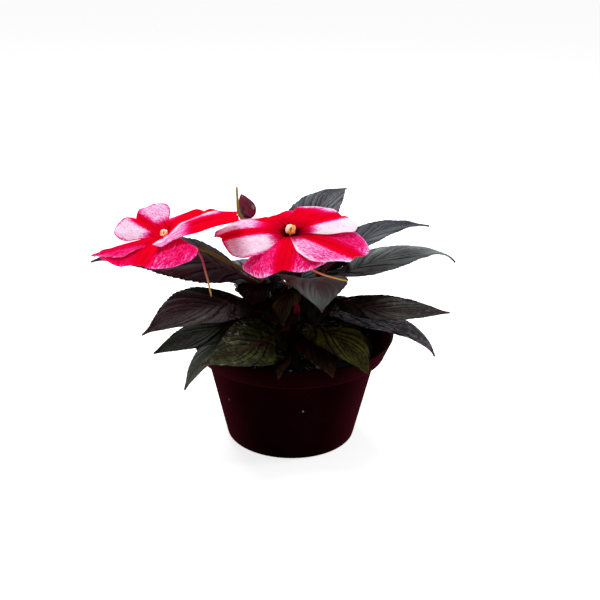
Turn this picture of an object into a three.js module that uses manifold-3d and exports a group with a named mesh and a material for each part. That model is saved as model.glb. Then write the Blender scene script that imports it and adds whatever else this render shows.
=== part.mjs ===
// Busy lizzie (New Guinea impatiens) in a nursery pot. Millimetres, +Z up.
// Origin: centre of the pot's flat base. +X right, +Y to the back, front at -Y.

import * as THREE from "three";
import { mergeVertices } from "three/addons/utils/BufferGeometryUtils.js";
import Module from "manifold-3d";

const wasm = await Module();
wasm.setup();

// Pot
const POT_HEIGHT = 57;
const RIM_RADIUS = 52.5;
const RIM_BAND_HEIGHT = 11;
const RIM_BAND_FOOT_RADIUS = 48;
const BODY_TOP_RADIUS = 44;
const BASE_RADIUS = 33.4;
const WALL = 1.4;
const POT_SEGMENTS = 48;
const DRAIN_SLOTS = 6;
const DRAIN_SLOT = { width: 2.4, length: 9, radius: 21 };

// Soil
const SOIL_LEVEL = 48;
const SOIL_SEGMENTS = 28;
const GAP = 0.3;

// Stems, each a bow through three points; the middle height is halfway
const STEM_RADIUS_FOOT = 3.4;
const STEM_RADIUS_TOP = 2.3;
const STEMS = {
  left: [[-6, -3, 34], [-13, -4, 60], [-14, -5, 86]],
  right: [[7, 2, 34], [13, 2, 62], [14, 2, 90]],
  front: [[1, -8, 34], [0, -13, 65], [3, -13, 96]],
  back: [[0, 9, 34], [1, 16, 62], [0, 17, 90]],
};

// Leaves: where they leave the stem, where they point, how they rise and droop, and their size.
// Bearing 0 is to the right, 90 to the back. Roll turns the blade about its midrib.
const LEAF_THICKNESS = 0.8;
const MIDRIB_THICKNESS = 1.5;
const PETIOLE_SHARE = 0.13;
const PETIOLE_RADIUS = 1.1;
const SIDE_VEINS = 7;
const LEAF_COLUMNS = [-1, -0.55, 0, 0.55, 1];
const DARK = "dark";
const OLIVE = "olive";
const YOUNG = "young";
const LEAVES = [
  leafRow("left_1", "left", 81, 182, 30, 52, 1, 90, 33, -19, 1, 1.42, DARK),
  leafRow("left_2", "left", 74, 223, 13, 27, 2, 76, 36, -8, 11, 1.43, DARK),
  leafRow("left_3", "left", 70, 216, -8, -1, 0, 65, 23, -7, 9, 1.13, DARK),
  leafRow("left_4", "left", 58, 227, 15, 66, 6, 65, 22, 16, 10, 1.18, DARK),
  leafRow("left_5", "front", 64, 244, 4, -3, -13, 75, 27, -33, 16, 1.45, OLIVE),
  leafRow("right_1", "back", 84, 55, 62, 68, -3, 63, 31, -5, 15, 1.35, DARK),
  leafRow("right_2", "right", 87, 23, 39, 55, -3, 67, 25, -1, 12, 1.37, DARK),
  leafRow("right_3", "right", 81, 24, 15, 63, -1, 85, 31, -1, 5, 1.63, DARK),
  leafRow("right_4", "right", 75, -33, -3, -21, 1, 73, 27, 6, 12, 1.2, DARK),
  leafRow("right_5", "right", 66, -26, 3, 68, 0, 69, 23, -3, 6, 1.2, DARK),
  leafRow("front_1", "front", 86, -53.7, 39, 128, -22.3, 34, 37, -10, 12.9, 1.54, DARK),
  leafRow("front_2", "front", 66, -47, 9, 50, -3, 56, 29, -2, 11, 1.23, OLIVE),
  leafRow("front_3", "front", 60, -66, 10, 36, -3, 49, 22, -5, 12, 1.14, OLIVE),
  leafRow("front_4", "front", 56, -100, 13, 32, 4, 48, 14, 8, 13, 1.28, OLIVE),
  leafRow("young_1", "front", 86, -103, 7, 57, 4, 35, 17, 32, 18, 1.31, YOUNG),
  leafRow("young_2", "left", 83.2, 248, 8, 62, 6.8, 18.5, 20, 8.7, 22, 1.03, YOUNG),
  leafRow("young_3", "right", 85, -98, 8, 60, -5, 34, 15, 0, 16, 1.3, YOUNG),
  leafRow("young_4", "back", 88, 248, 3, 34, 0, 28, 15, 12, 12, 1.3, YOUNG),
  leafRow("back_1", "left", 78, 132, 20, 52, -4, 52, 26, -6, 10, 1.35, DARK),
  leafRow("back_2", "back", 80, 108, 22, 48, 4, 66, 30, 4, 12, 1.4, DARK),
  leafRow("back_3", "back", 66, 128, 6, 40, -4, 58, 27, 6, 12, 1.3, OLIVE),
  leafRow("back_4", "back", 70, 78, 12, 50, -4, 64, 29, -6, 12, 1.35, DARK),
  leafRow("back_5", "right", 62, 50, 3, 30, 4, 54, 25, 5, 12, 1.3, OLIVE),
  leafRow("back_6", "back", 60, 92, 6, 30, 3, 52, 25, 0, 12, 1.25, OLIVE),
  leafRow("back_7", "left", 62, 165, 5, 30, 0, 54, 25, -5, 12, 1.3, OLIVE),
  leafRow("back_8", "right", 83, 80, 6, 36, -14, 40, 28, 8, 10, 1.1, DARK),
  leafRow("back_9", "back", 74, 150, 12, 34, 0, 46, 24, 0, 12, 1.3, DARK),
  leafRow("young_5", "front", 93, 150, 8, 50, 5, 30, 15, 0, 16, 1.3, YOUNG),
  leafRow("young_6", "right", 85.4, 72, 14.5, 26, -25, 29, 16, 4, 12, 1.0, YOUNG),
  leafRow("young_7", "left", 74, 125, 10, 30, 0, 27, 17, 0, 12, 1.2, DARK),
  leafRow("inner_1", "left", 76, 292, 2, 40, 0, 30, 17, 0, 14, 1.3, OLIVE),
  leafRow("inner_2", "right", 77, -94, 2, 36, 0, 32, 18, 0, 14, 1.3, OLIVE),
];
// The midrib of most leaves bends down evenly; these keep level and hook down near the tip.
const EVEN_BEND = 1.5;
const LATE_BEND = { right_3: 3.5, right_5: 4 };

// Flowers
const PETAL_THICKNESS = 0.8;
const PETAL_COLUMNS = 6;
const PETAL_ROWS = 7;
const PETAL_NOTCH_WIDTH = 0.42;
const FLOWERS = {
  right: {
    centre: [-1.3, -18, 113.9],
    petals: [
      petalRow(188.6, 11, 33, 36.7, 40.8, -16.2, 14.4, -3, 0, 0.10, 0.91, 1.0, 0, 0.09),
      petalRow(108.6, 3, 12.4, 35.4, 40, -3.7, -3.1, 10, 11, 0.02, 1.0, 1.0, 0, 0.2),
      petalRow(38, 16, 24, 35, 38, 4, 1, 8, 5, 0.07, 0.97, 0.97, 0, 0.16),
      petalRow(-31, -3.5, 14, 38.8, 44, 4, -6, 12, 8, 0.11, 1.0, 0.96, 0, 0.23),
      petalRow(-96, -4, 22, 37, 42, 4, 6, 0, -4, 0.12, 0.97, 1.0, 0, 0.2),
    ],
    spur: [[-1.3, -18, 112.3], [-1.3, -18.2, 109.6], [2, -24, 105], [8, -30, 100.6], [15, -33, 98.3], [26, -36, 96.5]],
    stalk: [[2, -13, 90], [3.5, -13.5, 98], [1.5, -15.5, 105], [-0.5, -17.5, 110]],
  },
  left: {
    centre: [-59.7, -30, 115.5],
    petals: [
      petalRow(196.4, -8.4, 8.7, 35.7, 44, 7.9, 4.5, 4.5, -2, 0.05, 0.93, 0.97, 0, 0.2),
      petalRow(130.2, 7.5, 0, 28.7, 30, -21.1, 5.7, 3, 15.3, 0.14, 1.0, 0.98, 0, 0.15),
      petalRow(62, 7, 0, 36, 38, -6, -3, 1, 5, 0.05, 1.0, 0.97, 0, 0.2),
      petalRow(5.6, 20.8, 13.5, 35.6, 38, -0.7, -11.3, 11.4, 4.2, 0.03, 1.0, 1.04, 1.1, 0.01),
      petalRow(-101, 1.5, 21, 36, 46, 6, -6, 9, 5, 0.12, 1.0, 0.97, 0, 0.2),
    ],
    spur: [[-59.7, -30, 113.9], [-59.5, -30, 111.2], [-52, -29.6, 108.4], [-44.2, -30, 107.6], [-40, -35, 98.5], [-37.5, -38, 88.5]],
    stalk: [[-13.5, -5, 83.5], [-18, -6.8, 87], [-25, -9.6, 92.8], [-35, -15, 100], [-42, -20, 105.5], [-58, -29.5, 111.5]],
  },
};

// Bud: an egg with a pointed tip, its own spur in front of it and its stalk
const BUD = {
  foot: [-21.9, 14.8, 111.7],
  tip: [-26.5, 14.8, 124.4],
  profile: [[0, 0], [2.6, 0.2], [4.0, 1.4], [4.8, 4.0], [4.4, 6.8], [3.2, 9.6], [1.7, 12.0], [0, 13.5]],
  spur: [[-23, 12, 112.2], [-25.4, 9.4, 112.6], [-27.4, 8.6, 116], [-28, 9, 123], [-28.3, 10, 129.6]],
  stalk: [[-0.5, 16.6, 88], [-8, 16, 98], [-16, 15, 105], [-21.7, 14, 111.2]],
};

const materials = {
  pot: material("#2c0a12", 0.42),
  soil: material("#15110e", 0.95),
  stem: material("#4a1c1a", 0.5),
  leaf_dark: material("#2b2e2f", 0.45),
  leaf_olive: material("#353a1c", 0.45),
  leaf_young: material("#2a1518", 0.45),
  petal: material("#e8206a", 0.55),
  anther: material("#f2dfa2", 0.6),
  stalk: material("#7a6420", 0.5),
  spur: material("#c86a50", 0.5),
  bud: material("#5c1226", 0.4),
};

function material(color, roughness) {
  return new THREE.MeshStandardMaterial({ color, roughness, metalness: 0 });
}

function leafRow(name, stem, height, bearing, rise, droop, sweep, length, width, roll, fold, taper, kind) {
  return { name, stem, height, bearing, rise, droop, sweep, length, width, roll, fold, taper, kind };
}

// A petal's angles and size, then the fold of its two lobes, the depth of its notch, the reach of its
// two lobes, the ear beside the throat and the rounding of its corners.
function petalRow(bearing, rise, droop, length, width, roll, twist, ...lobes) {
  const [foldLeft, foldRight, notch, reachLeft, reachRight, ear, corner] = lobes;
  const angles = { bearing, rise, droop, roll, twist, foldLeft, foldRight };
  return { ...angles, length, width, notch, reachLeft, reachRight, ear, corner };
}

function radians(degrees) {
  return THREE.MathUtils.degToRad(degrees);
}

function vector(list) {
  return new THREE.Vector3(...list);
}

// ---- solids ----

function solidOf(geometry) {
  const bare = geometry.clone();
  bare.deleteAttribute("normal");
  bare.deleteAttribute("uv");
  const welded = mergeVertices(bare, 1e-4);
  return new wasm.Manifold(new wasm.Mesh({
    numProp: 3,
    vertProperties: new Float32Array(welded.attributes.position.array),
    triVerts: new Uint32Array(welded.index.array),
  }));
}

function meshOf(name, solid, slot) {
  const data = solid.getMesh();
  const geometry = new THREE.BufferGeometry();
  geometry.setAttribute("position", new THREE.BufferAttribute(new Float32Array(data.vertProperties), 3));
  geometry.setIndex(new THREE.BufferAttribute(new Uint32Array(data.triVerts), 1));
  geometry.computeVertexNormals();
  const mesh = new THREE.Mesh(geometry, materials[slot]);
  mesh.name = name;
  return mesh;
}

// The largest closed shell of a solid: small sealed hollows and cut-off crumbs are left out.
function mainShell(solid) {
  return solid.decompose().reduce((best, piece) => (piece.volume() > best.volume() ? piece : best));
}

function lathe(profile, segments) {
  const points = profile.map(([radius, height]) => new THREE.Vector2(radius, height));
  const geometry = new THREE.LatheGeometry(points, segments);
  geometry.rotateX(Math.PI / 2);
  return geometry;
}

// A closed skin of two alike faces over a grid of points, with a thickness at every point.
function skin(grid, thickness) {
  const rows = grid.length;
  const columns = grid[0].length;
  const positions = [];
  const normalAt = (i, j) => {
    const along = grid[Math.min(i + 1, rows - 1)][j].clone().sub(grid[Math.max(i - 1, 0)][j]);
    const across = grid[i][Math.min(j + 1, columns - 1)].clone().sub(grid[i][Math.max(j - 1, 0)]);
    return across.cross(along).normalize();
  };
  for (const side of [0.5, -0.5]) {
    for (let i = 0; i < rows; i++) {
      for (let j = 0; j < columns; j++) {
        const point = grid[i][j].clone().addScaledVector(normalAt(i, j), side * thickness(i, j));
        positions.push(point.x, point.y, point.z);
      }
    }
  }
  const top = (i, j) => i * columns + j;
  const under = (i, j) => rows * columns + i * columns + j;
  const index = [];
  for (let i = 0; i < rows - 1; i++) {
    for (let j = 0; j < columns - 1; j++) {
      index.push(top(i, j), top(i, j + 1), top(i + 1, j + 1));
      index.push(top(i, j), top(i + 1, j + 1), top(i + 1, j));
      index.push(under(i, j), under(i + 1, j + 1), under(i, j + 1));
      index.push(under(i, j), under(i + 1, j), under(i + 1, j + 1));
    }
  }
  const rim = [];
  for (let j = 0; j < columns; j++) rim.push([0, j]);
  for (let i = 1; i < rows; i++) rim.push([i, columns - 1]);
  for (let j = columns - 2; j >= 0; j--) rim.push([rows - 1, j]);
  for (let i = rows - 2; i > 0; i--) rim.push([i, 0]);
  rim.forEach((here, k) => {
    const next = rim[(k + 1) % rim.length];
    index.push(top(...here), under(...here), under(...next));
    index.push(top(...here), under(...next), top(...next));
  });
  const geometry = new THREE.BufferGeometry();
  geometry.setAttribute("position", new THREE.BufferAttribute(new Float32Array(positions), 3));
  geometry.setIndex(index);
  return geometry;
}

// A round stalk through a row of points, with a radius that changes along it.
function stalkGeometry(points, radius, rings, sides) {
  const path = new THREE.CatmullRomCurve3(points.map(vector));
  const frames = path.computeFrenetFrames(rings, false);
  const positions = [];
  const index = [];
  for (let i = 0; i <= rings; i++) {
    const centre = path.getPoint(i / rings);
    for (let k = 0; k < sides; k++) {
      const angle = (2 * Math.PI * k) / sides;
      const point = centre.clone()
        .addScaledVector(frames.normals[i], radius(i / rings) * Math.cos(angle))
        .addScaledVector(frames.binormals[i], radius(i / rings) * Math.sin(angle));
      positions.push(point.x, point.y, point.z);
    }
  }
  const first = path.getPoint(0);
  const last = path.getPoint(1);
  positions.push(first.x, first.y, first.z, last.x, last.y, last.z);
  const foot = (rings + 1) * sides;
  for (let k = 0; k < sides; k++) {
    const next = (k + 1) % sides;
    for (let i = 0; i < rings; i++) {
      const a = i * sides + k;
      const b = i * sides + next;
      index.push(a, b, b + sides, a, b + sides, a + sides);
    }
    index.push(foot, next, k);
    index.push(foot + 1, rings * sides + k, rings * sides + next);
  }
  const geometry = new THREE.BufferGeometry();
  geometry.setAttribute("position", new THREE.BufferAttribute(new Float32Array(positions), 3));
  geometry.setIndex(index);
  return geometry;
}

// ---- pot and soil ----

function potSolid() {
  const bandFoot = POT_HEIGHT - RIM_BAND_HEIGHT;
  const profile = [
    [0, 0],
    [BASE_RADIUS - 1.1, 0],
    [BASE_RADIUS - 0.3, 0.3],
    [BASE_RADIUS, 1.1],
    [BODY_TOP_RADIUS, bandFoot],
    [RIM_BAND_FOOT_RADIUS, bandFoot + 0.3],
    [RIM_RADIUS, POT_HEIGHT - 0.5],
    [RIM_RADIUS - 0.4, POT_HEIGHT],
    [RIM_RADIUS - WALL, POT_HEIGHT],
    [RIM_RADIUS - WALL - 0.3, POT_HEIGHT - 0.5],
    [RIM_BAND_FOOT_RADIUS - WALL, bandFoot + 1.7],
    [BODY_TOP_RADIUS - WALL, bandFoot + 0.6],
    [BASE_RADIUS - WALL + 0.2, 2.6],
    [BASE_RADIUS - WALL - 1.2, WALL],
    [0, WALL],
  ];
  let pot = solidOf(lathe(profile, POT_SEGMENTS));
  for (let i = 0; i < DRAIN_SLOTS; i++) {
    const slot = new THREE.BoxGeometry(DRAIN_SLOT.length, DRAIN_SLOT.width, 3 * WALL);
    slot.translate(DRAIN_SLOT.radius, 0, WALL / 2);
    slot.rotateZ((2 * Math.PI * i) / DRAIN_SLOTS);
    pot = pot.subtract(solidOf(slot));
  }
  return pot;
}

function soilSolid() {
  const bandFoot = POT_HEIGHT - RIM_BAND_HEIGHT;
  const profile = [
    [0, WALL + GAP],
    [BASE_RADIUS - WALL - 1.6, WALL + GAP],
    [BASE_RADIUS - WALL - GAP, 2.8],
    [BODY_TOP_RADIUS - WALL - GAP - 0.1, bandFoot + 0.6],
    [BODY_TOP_RADIUS - WALL - GAP - 0.1, SOIL_LEVEL - 1.2],
    [36, SOIL_LEVEL],
    [26, SOIL_LEVEL - 0.6],
    [14, SOIL_LEVEL + 0.6],
    [0, SOIL_LEVEL + 1],
  ];
  let soil = solidOf(lathe(profile, SOIL_SEGMENTS));
  for (const name of Object.keys(STEMS)) soil = soil.subtract(stemHole(name));
  return soil;
}

// ---- stems ----

function stemPoint(name, height) {
  const [foot, middle, top] = STEMS[name].map(vector);
  const t = (height - foot.z) / (top.z - foot.z);
  return foot.multiplyScalar((1 - t) ** 2)
    .addScaledVector(middle.setZ((STEMS[name][0][2] + STEMS[name][2][2]) / 2), 2 * t * (1 - t))
    .addScaledVector(top, t * t);
}

function stemSolid(name, grow) {
  const [foot, , top] = STEMS[name];
  const points = [];
  for (let i = 0; i <= 4; i++) {
    const height = foot[2] + ((top[2] - foot[2]) * i) / 4;
    points.push(stemPoint(name, height).toArray());
  }
  points[0][2] -= grow;
  points[4][2] += grow;
  const radius = (t) => {
    const taper = STEM_RADIUS_FOOT + (STEM_RADIUS_TOP - STEM_RADIUS_FOOT) * t;
    const joint = 0.35 * Math.cos(t * Math.PI * 6) ** 4;
    return taper + joint + grow;
  };
  return solidOf(stalkGeometry(points, radius, 9, 10));
}

function stemHole(name) {
  const [foot] = STEMS[name];
  const mouth = stemPoint(name, SOIL_LEVEL + 4).toArray();
  const middle = stemPoint(name, (foot[2] + SOIL_LEVEL) / 2).toArray();
  const floor = [foot[0], foot[1], foot[2] - 0.2];
  const radius = () => STEM_RADIUS_FOOT + 0.35 + GAP;
  return solidOf(stalkGeometry([floor, middle, mouth], radius, 2, 12));
}

// ---- blades ----

// The midrib of a blade: it starts at a point, heads off on its bearing and bends down as it goes.
// Behind its start, where s is below nothing, it rises again.
function midrib(start, blade, bend) {
  const steps = 48;
  const points = [start.clone()];
  for (let k = 0; k < steps; k++) {
    const step = directionAt(blade, (k + 0.5) / steps, bend).multiplyScalar(blade.length / steps);
    points.push(points[k].clone().add(step));
  }
  const back = directionAt(blade, 0, bend).multiply(new THREE.Vector3(1, 1, -1));
  return (s) => {
    if (s < 0) return start.clone().addScaledVector(back, s * blade.length);
    const k = Math.min(Math.floor(s * steps), steps - 1);
    return points[k].clone().lerp(points[k + 1], s * steps - k);
  };
}

function directionAt(blade, s, bend) {
  const pitch = radians(blade.rise - blade.droop * s ** bend);
  const heading = radians(blade.bearing + (blade.sweep ?? 0) * s);
  const flat = Math.cos(pitch);
  return new THREE.Vector3(flat * Math.cos(heading), flat * Math.sin(heading), Math.sin(pitch));
}

// A point of a blade: along the midrib, then out to one side on a fold that arches back down.
function bladePoint(spine, blade, bend, s, v, half, fold, arch) {
  const along = directionAt(blade, Math.max(s, 0), bend);
  const heading = radians(blade.bearing + (blade.sweep ?? 0) * Math.max(s, 0));
  const level = new THREE.Vector3(Math.sin(heading), -Math.cos(heading), 0);
  const upright = level.clone().cross(along);
  const roll = radians(blade.roll + (blade.twist ?? 0) * Math.max(s, 0));
  const side = level.clone().multiplyScalar(Math.cos(roll)).addScaledVector(upright, -Math.sin(roll));
  const up = upright.multiplyScalar(Math.cos(roll)).addScaledVector(level, Math.sin(roll));
  const a = radians(fold);
  const b = radians(arch);
  const t = Math.abs(v);
  const out = (Math.sin(a) - Math.sin(a - b * t)) / b;
  const lift = (Math.cos(a - b * t) - Math.cos(a)) / b;
  return spine(s)
    .addScaledVector(side, Math.sign(v) * out * half)
    .addScaledVector(up, lift * half);
}

function leafWidthShare(b, taper) {
  const swell = 0.9;
  const peak = swell / (swell + taper);
  const at = (x) => x ** swell * (1 - x) ** taper;
  return at(b) / at(peak);
}

function leafSolid(leaf) {
  const bend = LATE_BEND[leaf.name] ?? EVEN_BEND;
  const spine = midrib(stemPoint(leaf.stem, leaf.height), leaf, bend);
  const veins = SIDE_VEINS - (leaf.length < 60) - (leaf.length < 42);
  const rows = 2 * veins + 1;
  const shares = [-1, -0.5];
  for (let i = 0; i <= rows; i++) shares.push(i / rows);
  const grid = shares.map((row, i) => LEAF_COLUMNS.map((v) => {
    if (row < 0) {
      const s = PETIOLE_SHARE * (1 + row);
      return bladePoint(spine, leaf, bend, s, v, PETIOLE_RADIUS, 0, 1);
    }
    const t = Math.abs(v);
    const b = row + 0.45 * t ** 1.2 * row * (1 - row);
    const crest = i % 2 === 0 ? 1 : -1;
    const tooth = t === 1 ? crest * 0.03 : 0;
    const half = Math.max(leafWidthShare(b, leaf.taper) * (1 + tooth) * leaf.width / 2, 0);
    const least = row < 0.5 ? PETIOLE_RADIUS : 0.45;
    const s = PETIOLE_SHARE + (1 - PETIOLE_SHARE) * b;
    const point = bladePoint(spine, leaf, bend, Math.min(s, 1), v, Math.max(half, least), leaf.fold, 10);
    if (t > 0 && t < 1) point.z += crest * 0.012 * leaf.width * Math.sin(Math.PI * row);
    return point;
  }));
  const thickness = (i, j) => {
    const v = Math.abs(LEAF_COLUMNS[j]);
    if (i <= 2) return 0.7 + 2 * PETIOLE_RADIUS * Math.sqrt(1 - v * v) * 0.75;
    const rib = MIDRIB_THICKNESS - (MIDRIB_THICKNESS - LEAF_THICKNESS) * (i / grid.length);
    return v === 0 ? rib : LEAF_THICKNESS;
  };
  return solidOf(skin(grid, thickness));
}

// ---- flowers ----

function petalWidthShare(s) {
  const swell = Math.sin((Math.PI / 2) * Math.min(s / 0.72, 1)) ** 1.25;
  const end = 1 - 0.18 * Math.max((s - 0.72) / 0.28, 0) ** 2;
  return 0.16 + 0.84 * swell * end;
}

function petalEnd(petal, v) {
  const t = Math.abs(v);
  const reach = v < 0 ? petal.reachLeft : petal.reachRight;
  const lobe = 1 - (1 - reach) * Math.min(t * 3, 1);
  const notch = petal.notch * Math.max(1 - t / PETAL_NOTCH_WIDTH, 0) ** 1.6;
  return lobe * (1 - petal.corner * t ** 3 - notch);
}

function petalSolid(centre, petal) {
  const bend = 1.2;
  const spine = midrib(vector(centre), petal, bend);
  const grid = [];
  for (let i = 0; i <= PETAL_ROWS; i++) {
    const row = i / PETAL_ROWS;
    const line = [];
    for (let j = 0; j <= PETAL_COLUMNS; j++) {
      const v = (2 * j) / PETAL_COLUMNS - 1;
      const ear = v > 0 ? petal.ear * Math.exp(-((row / 0.27) ** 2)) : 0;
      const s = row + row * row * (petalEnd(petal, v) - 1) - 0.12 * ear * v * v;
      const fold = v < 0 ? petal.foldLeft : petal.foldRight;
      const half = ((petalWidthShare(row) + ear) * petal.width) / 2;
      const point = bladePoint(spine, petal, bend, s, v, half, fold, 15);
      point.z += 0.5 * row * row * v * v * Math.sin(7 * row + 9 * v + petal.bearing);
      if (v > 0) point.z += 2.6 * petal.ear * Math.exp(-((row / 0.4) ** 2)) * v ** 1.5;
      line.push(point);
    }
    grid.push(line);
  }
  return solidOf(skin(grid, () => PETAL_THICKNESS));
}

function corollaSolid(flower) {
  const throat = new THREE.SphereGeometry(4.6, 14, 6);
  throat.scale(1, 1, 0.24);
  throat.translate(...flower.centre);
  let corolla = solidOf(throat);
  for (const petal of flower.petals) corolla = corolla.add(petalSolid(flower.centre, petal));
  return mainShell(corolla.subtract(antherSolid(flower, GAP)));
}

// The cap of anthers stands in a shallow cup in the throat, less than half a millimetre deep.
function antherSolid(flower, grow) {
  const [x, y, z] = flower.centre;
  const profile = [[0, 0], [1.5, 0], [1.7, 1.2], [2.4, 2.2], [2.6, 3.4], [2.2, 4.5], [1.2, 5.1], [0, 5.2]];
  const cap = lathe(profile.map(([radius, height]) => [radius && radius + grow, height]), 12);
  cap.translate(x, y, z - grow);
  return solidOf(cap);
}

function spurSolid(flower, grow) {
  return solidOf(stalkGeometry(flower.spur, (t) => 1.9 * (1 - t) ** 3 + 0.75 - 0.2 * t + grow, 12, 7));
}

function flowerStalkSolid(flower) {
  return solidOf(stalkGeometry(flower.stalk, () => 0.95, 10, 8));
}

// ---- bud ----

function budSolid(grow) {
  const foot = vector(BUD.foot);
  const axis = vector(BUD.tip).sub(foot).normalize();
  const egg = lathe(BUD.profile.map(([radius, height]) => [radius && radius + grow, height]), 14);
  egg.applyQuaternion(new THREE.Quaternion().setFromUnitVectors(new THREE.Vector3(0, 0, 1), axis));
  egg.translate(foot.x, foot.y, foot.z);
  return solidOf(egg);
}

function budSpurSolid() {
  const spur = solidOf(stalkGeometry(BUD.spur, (t) => 0.85 - 0.3 * t, 9, 8));
  return mainShell(spur.subtract(budSolid(GAP)));
}

function budStalkSolid(cutter) {
  const stalk = solidOf(stalkGeometry(BUD.stalk, () => 0.85, 8, 8));
  return mainShell(stalk.subtract(cutter));
}

// ---- assembly ----

function build() {
  const group = new THREE.Group();
  group.name = "busy_lizzie";
  group.add(meshOf("pot", potSolid(), "pot"));
  group.add(meshOf("soil", soilSolid(), "soil"));
  let grownStems = null;
  for (const name of Object.keys(STEMS)) {
    group.add(meshOf(`stem_${name}`, stemSolid(name, 0), "stem"));
    const grown = stemSolid(name, GAP);
    grownStems = grownStems ? grownStems.add(grown) : grown;
  }
  for (const leaf of LEAVES) {
    const blade = mainShell(leafSolid(leaf).subtract(grownStems));
    group.add(meshOf(`leaf_${leaf.name}`, blade, `leaf_${leaf.kind}`));
  }
  for (const [side, flower] of Object.entries(FLOWERS)) {
    const corolla = corollaSolid(flower);
    const spur = spurSolid(flower, 0).subtract(corolla.translate([0, 0, -GAP]));
    group.add(meshOf(`flower_${side}_petals`, corolla, "petal"));
    group.add(meshOf(`flower_${side}_anther_cap`, antherSolid(flower, 0), "anther"));
    group.add(meshOf(`flower_${side}_spur`, mainShell(spur), "spur"));
    const stalk = mainShell(flowerStalkSolid(flower).subtract(grownStems).subtract(spurSolid(flower, GAP)));
    group.add(meshOf(`flower_${side}_stalk`, stalk, "stalk"));
  }
  group.add(meshOf("bud", budSolid(0), "bud"));
  group.add(meshOf("bud_spur", budSpurSolid(), "spur"));
  group.add(meshOf("bud_stalk", budStalkSolid(grownStems), "stalk"));
  return group;
}

export default build();
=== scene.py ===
# %% [markdown]
# # A busy lizzie in its pot
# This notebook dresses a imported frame: a New Guinea busy lizzie, which is a bushy plant with dark
# toothed leaves and flat flowers, standing in a small round nursery pot. The frame gives every
# node its place, so each finer piece below is built from the same named dimensions as its node.
# Everything is in metres here. The plant's own sizes are written in millimetres and scaled once.

# %% Load the frame
import math
from contextlib import contextmanager

import bpy
import numpy as np
from mathutils import Matrix, Vector, noise


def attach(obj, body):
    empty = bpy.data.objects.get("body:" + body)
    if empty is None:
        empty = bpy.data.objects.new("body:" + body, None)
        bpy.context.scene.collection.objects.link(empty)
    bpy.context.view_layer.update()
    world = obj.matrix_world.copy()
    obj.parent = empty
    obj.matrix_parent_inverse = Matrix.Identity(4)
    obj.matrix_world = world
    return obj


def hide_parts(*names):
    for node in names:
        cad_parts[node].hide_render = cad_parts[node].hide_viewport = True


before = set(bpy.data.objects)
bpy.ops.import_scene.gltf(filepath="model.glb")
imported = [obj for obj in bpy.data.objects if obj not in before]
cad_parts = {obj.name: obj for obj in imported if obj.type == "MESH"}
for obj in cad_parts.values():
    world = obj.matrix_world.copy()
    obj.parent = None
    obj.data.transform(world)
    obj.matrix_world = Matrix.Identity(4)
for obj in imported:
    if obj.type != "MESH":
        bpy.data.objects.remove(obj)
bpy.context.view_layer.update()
MM = 0.001
print("the frame holds", len(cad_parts), "nodes")

# %% [markdown]
# ## Camera
# A camera needs three things: where it stands, which way it looks and how long its lens is. It
# stands a little above the plant and looks down about 21 degrees, so that the round mouth of the
# pot reads as a flat ellipse and the flowers are seen at a slant. The axes are worked out from
# three small angles and put in the camera's matrix at once, which avoids a chain of turns.

# %% Camera
CAMERA_PLACE = Vector((0, -438.56, 240.14)) * MM
CAMERA_PITCH = math.radians(20.85)
CAMERA_YAW = math.radians(0.52)
CAMERA_ROLL = math.radians(0.92)

ahead = Vector((math.sin(CAMERA_YAW) * math.cos(CAMERA_PITCH),
                math.cos(CAMERA_YAW) * math.cos(CAMERA_PITCH),
                -math.sin(CAMERA_PITCH)))
level_right = ahead.cross(Vector((0, 0, 1))).normalized()
level_up = level_right.cross(ahead)
right = level_right * math.cos(CAMERA_ROLL) + level_up * math.sin(CAMERA_ROLL)
up = level_up * math.cos(CAMERA_ROLL) - level_right * math.sin(CAMERA_ROLL)
turn = Matrix((right, up, -ahead)).transposed().to_4x4()
bpy.ops.object.camera_add()
camera = bpy.context.object
camera.name = "camera"
camera.matrix_world = Matrix.Translation(CAMERA_PLACE) @ turn
camera.data.lens = 55.26
camera.data.sensor_width = 36
camera.data.clip_start = 0.01
bpy.context.scene.camera = camera
print("camera at", [round(c, 3) for c in CAMERA_PLACE])

# %% [markdown]
# ## Light and floor
# Dark satin leaves show little colour of their own: most of what the eye reads on them is the
# soft reflection of what is around. So the plant stands in a white room, made by a plain white
# world, with a wide soft lamp high on the left, a weaker one on the right and one behind that
# draws the rims. The colours are shown as they are, with no film curve, so white stays white.

# %% Light and floor
FLOOR_GREY = (0.92, 0.92, 0.92, 1)
FLOOR_DROP = 0.0002
WHITE = (1, 1, 1, 1)


def soft_lamp(name, place, target, size, power):
    bpy.ops.object.light_add(type="AREA", location=place)
    lamp = bpy.context.object
    lamp.name = name
    lamp.data.shape = "DISK"
    lamp.data.size = size
    lamp.data.energy = power
    lamp.rotation_euler = (Vector(target) - Vector(place)).to_track_quat("-Z", "Y").to_euler()


soft_lamp("key_lamp", (-0.20, 0.05, 1.10), (0, 0, 0.08), 0.60, 7.4)
soft_lamp("side_lamp", (0.85, 0.10, 0.40), (0, 0, 0.06), 0.40, 2)
soft_lamp("rim_lamp", (-0.30, 0.75, 0.60), (0, 0, 0.08), 0.45, 3)

scene = bpy.context.scene
scene.world = bpy.data.worlds.new("white_room")
scene.world.use_nodes = True
room = scene.world.node_tree.nodes["Background"]
room.inputs["Color"].default_value = WHITE
room.inputs["Strength"].default_value = 0.24
scene.view_settings.view_transform = "Standard"
scene.view_settings.look = "None"

bpy.ops.mesh.primitive_plane_add(size=16, location=(0, 0, -FLOOR_DROP))
floor = bpy.context.object
floor.name = "floor"
floor_paint = bpy.data.materials.new("floor_paint")
floor_paint.use_nodes = True
sockets = floor_paint.node_tree.nodes["Principled BSDF"].inputs
sockets["Base Color"].default_value = FLOOR_GREY
sockets["Roughness"].default_value = 0.9
sockets["Emission Color"].default_value = WHITE
sockets["Emission Strength"].default_value = 0.74
floor.data.materials.append(floor_paint)
print("three lamps, a white room and a floor")

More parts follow.
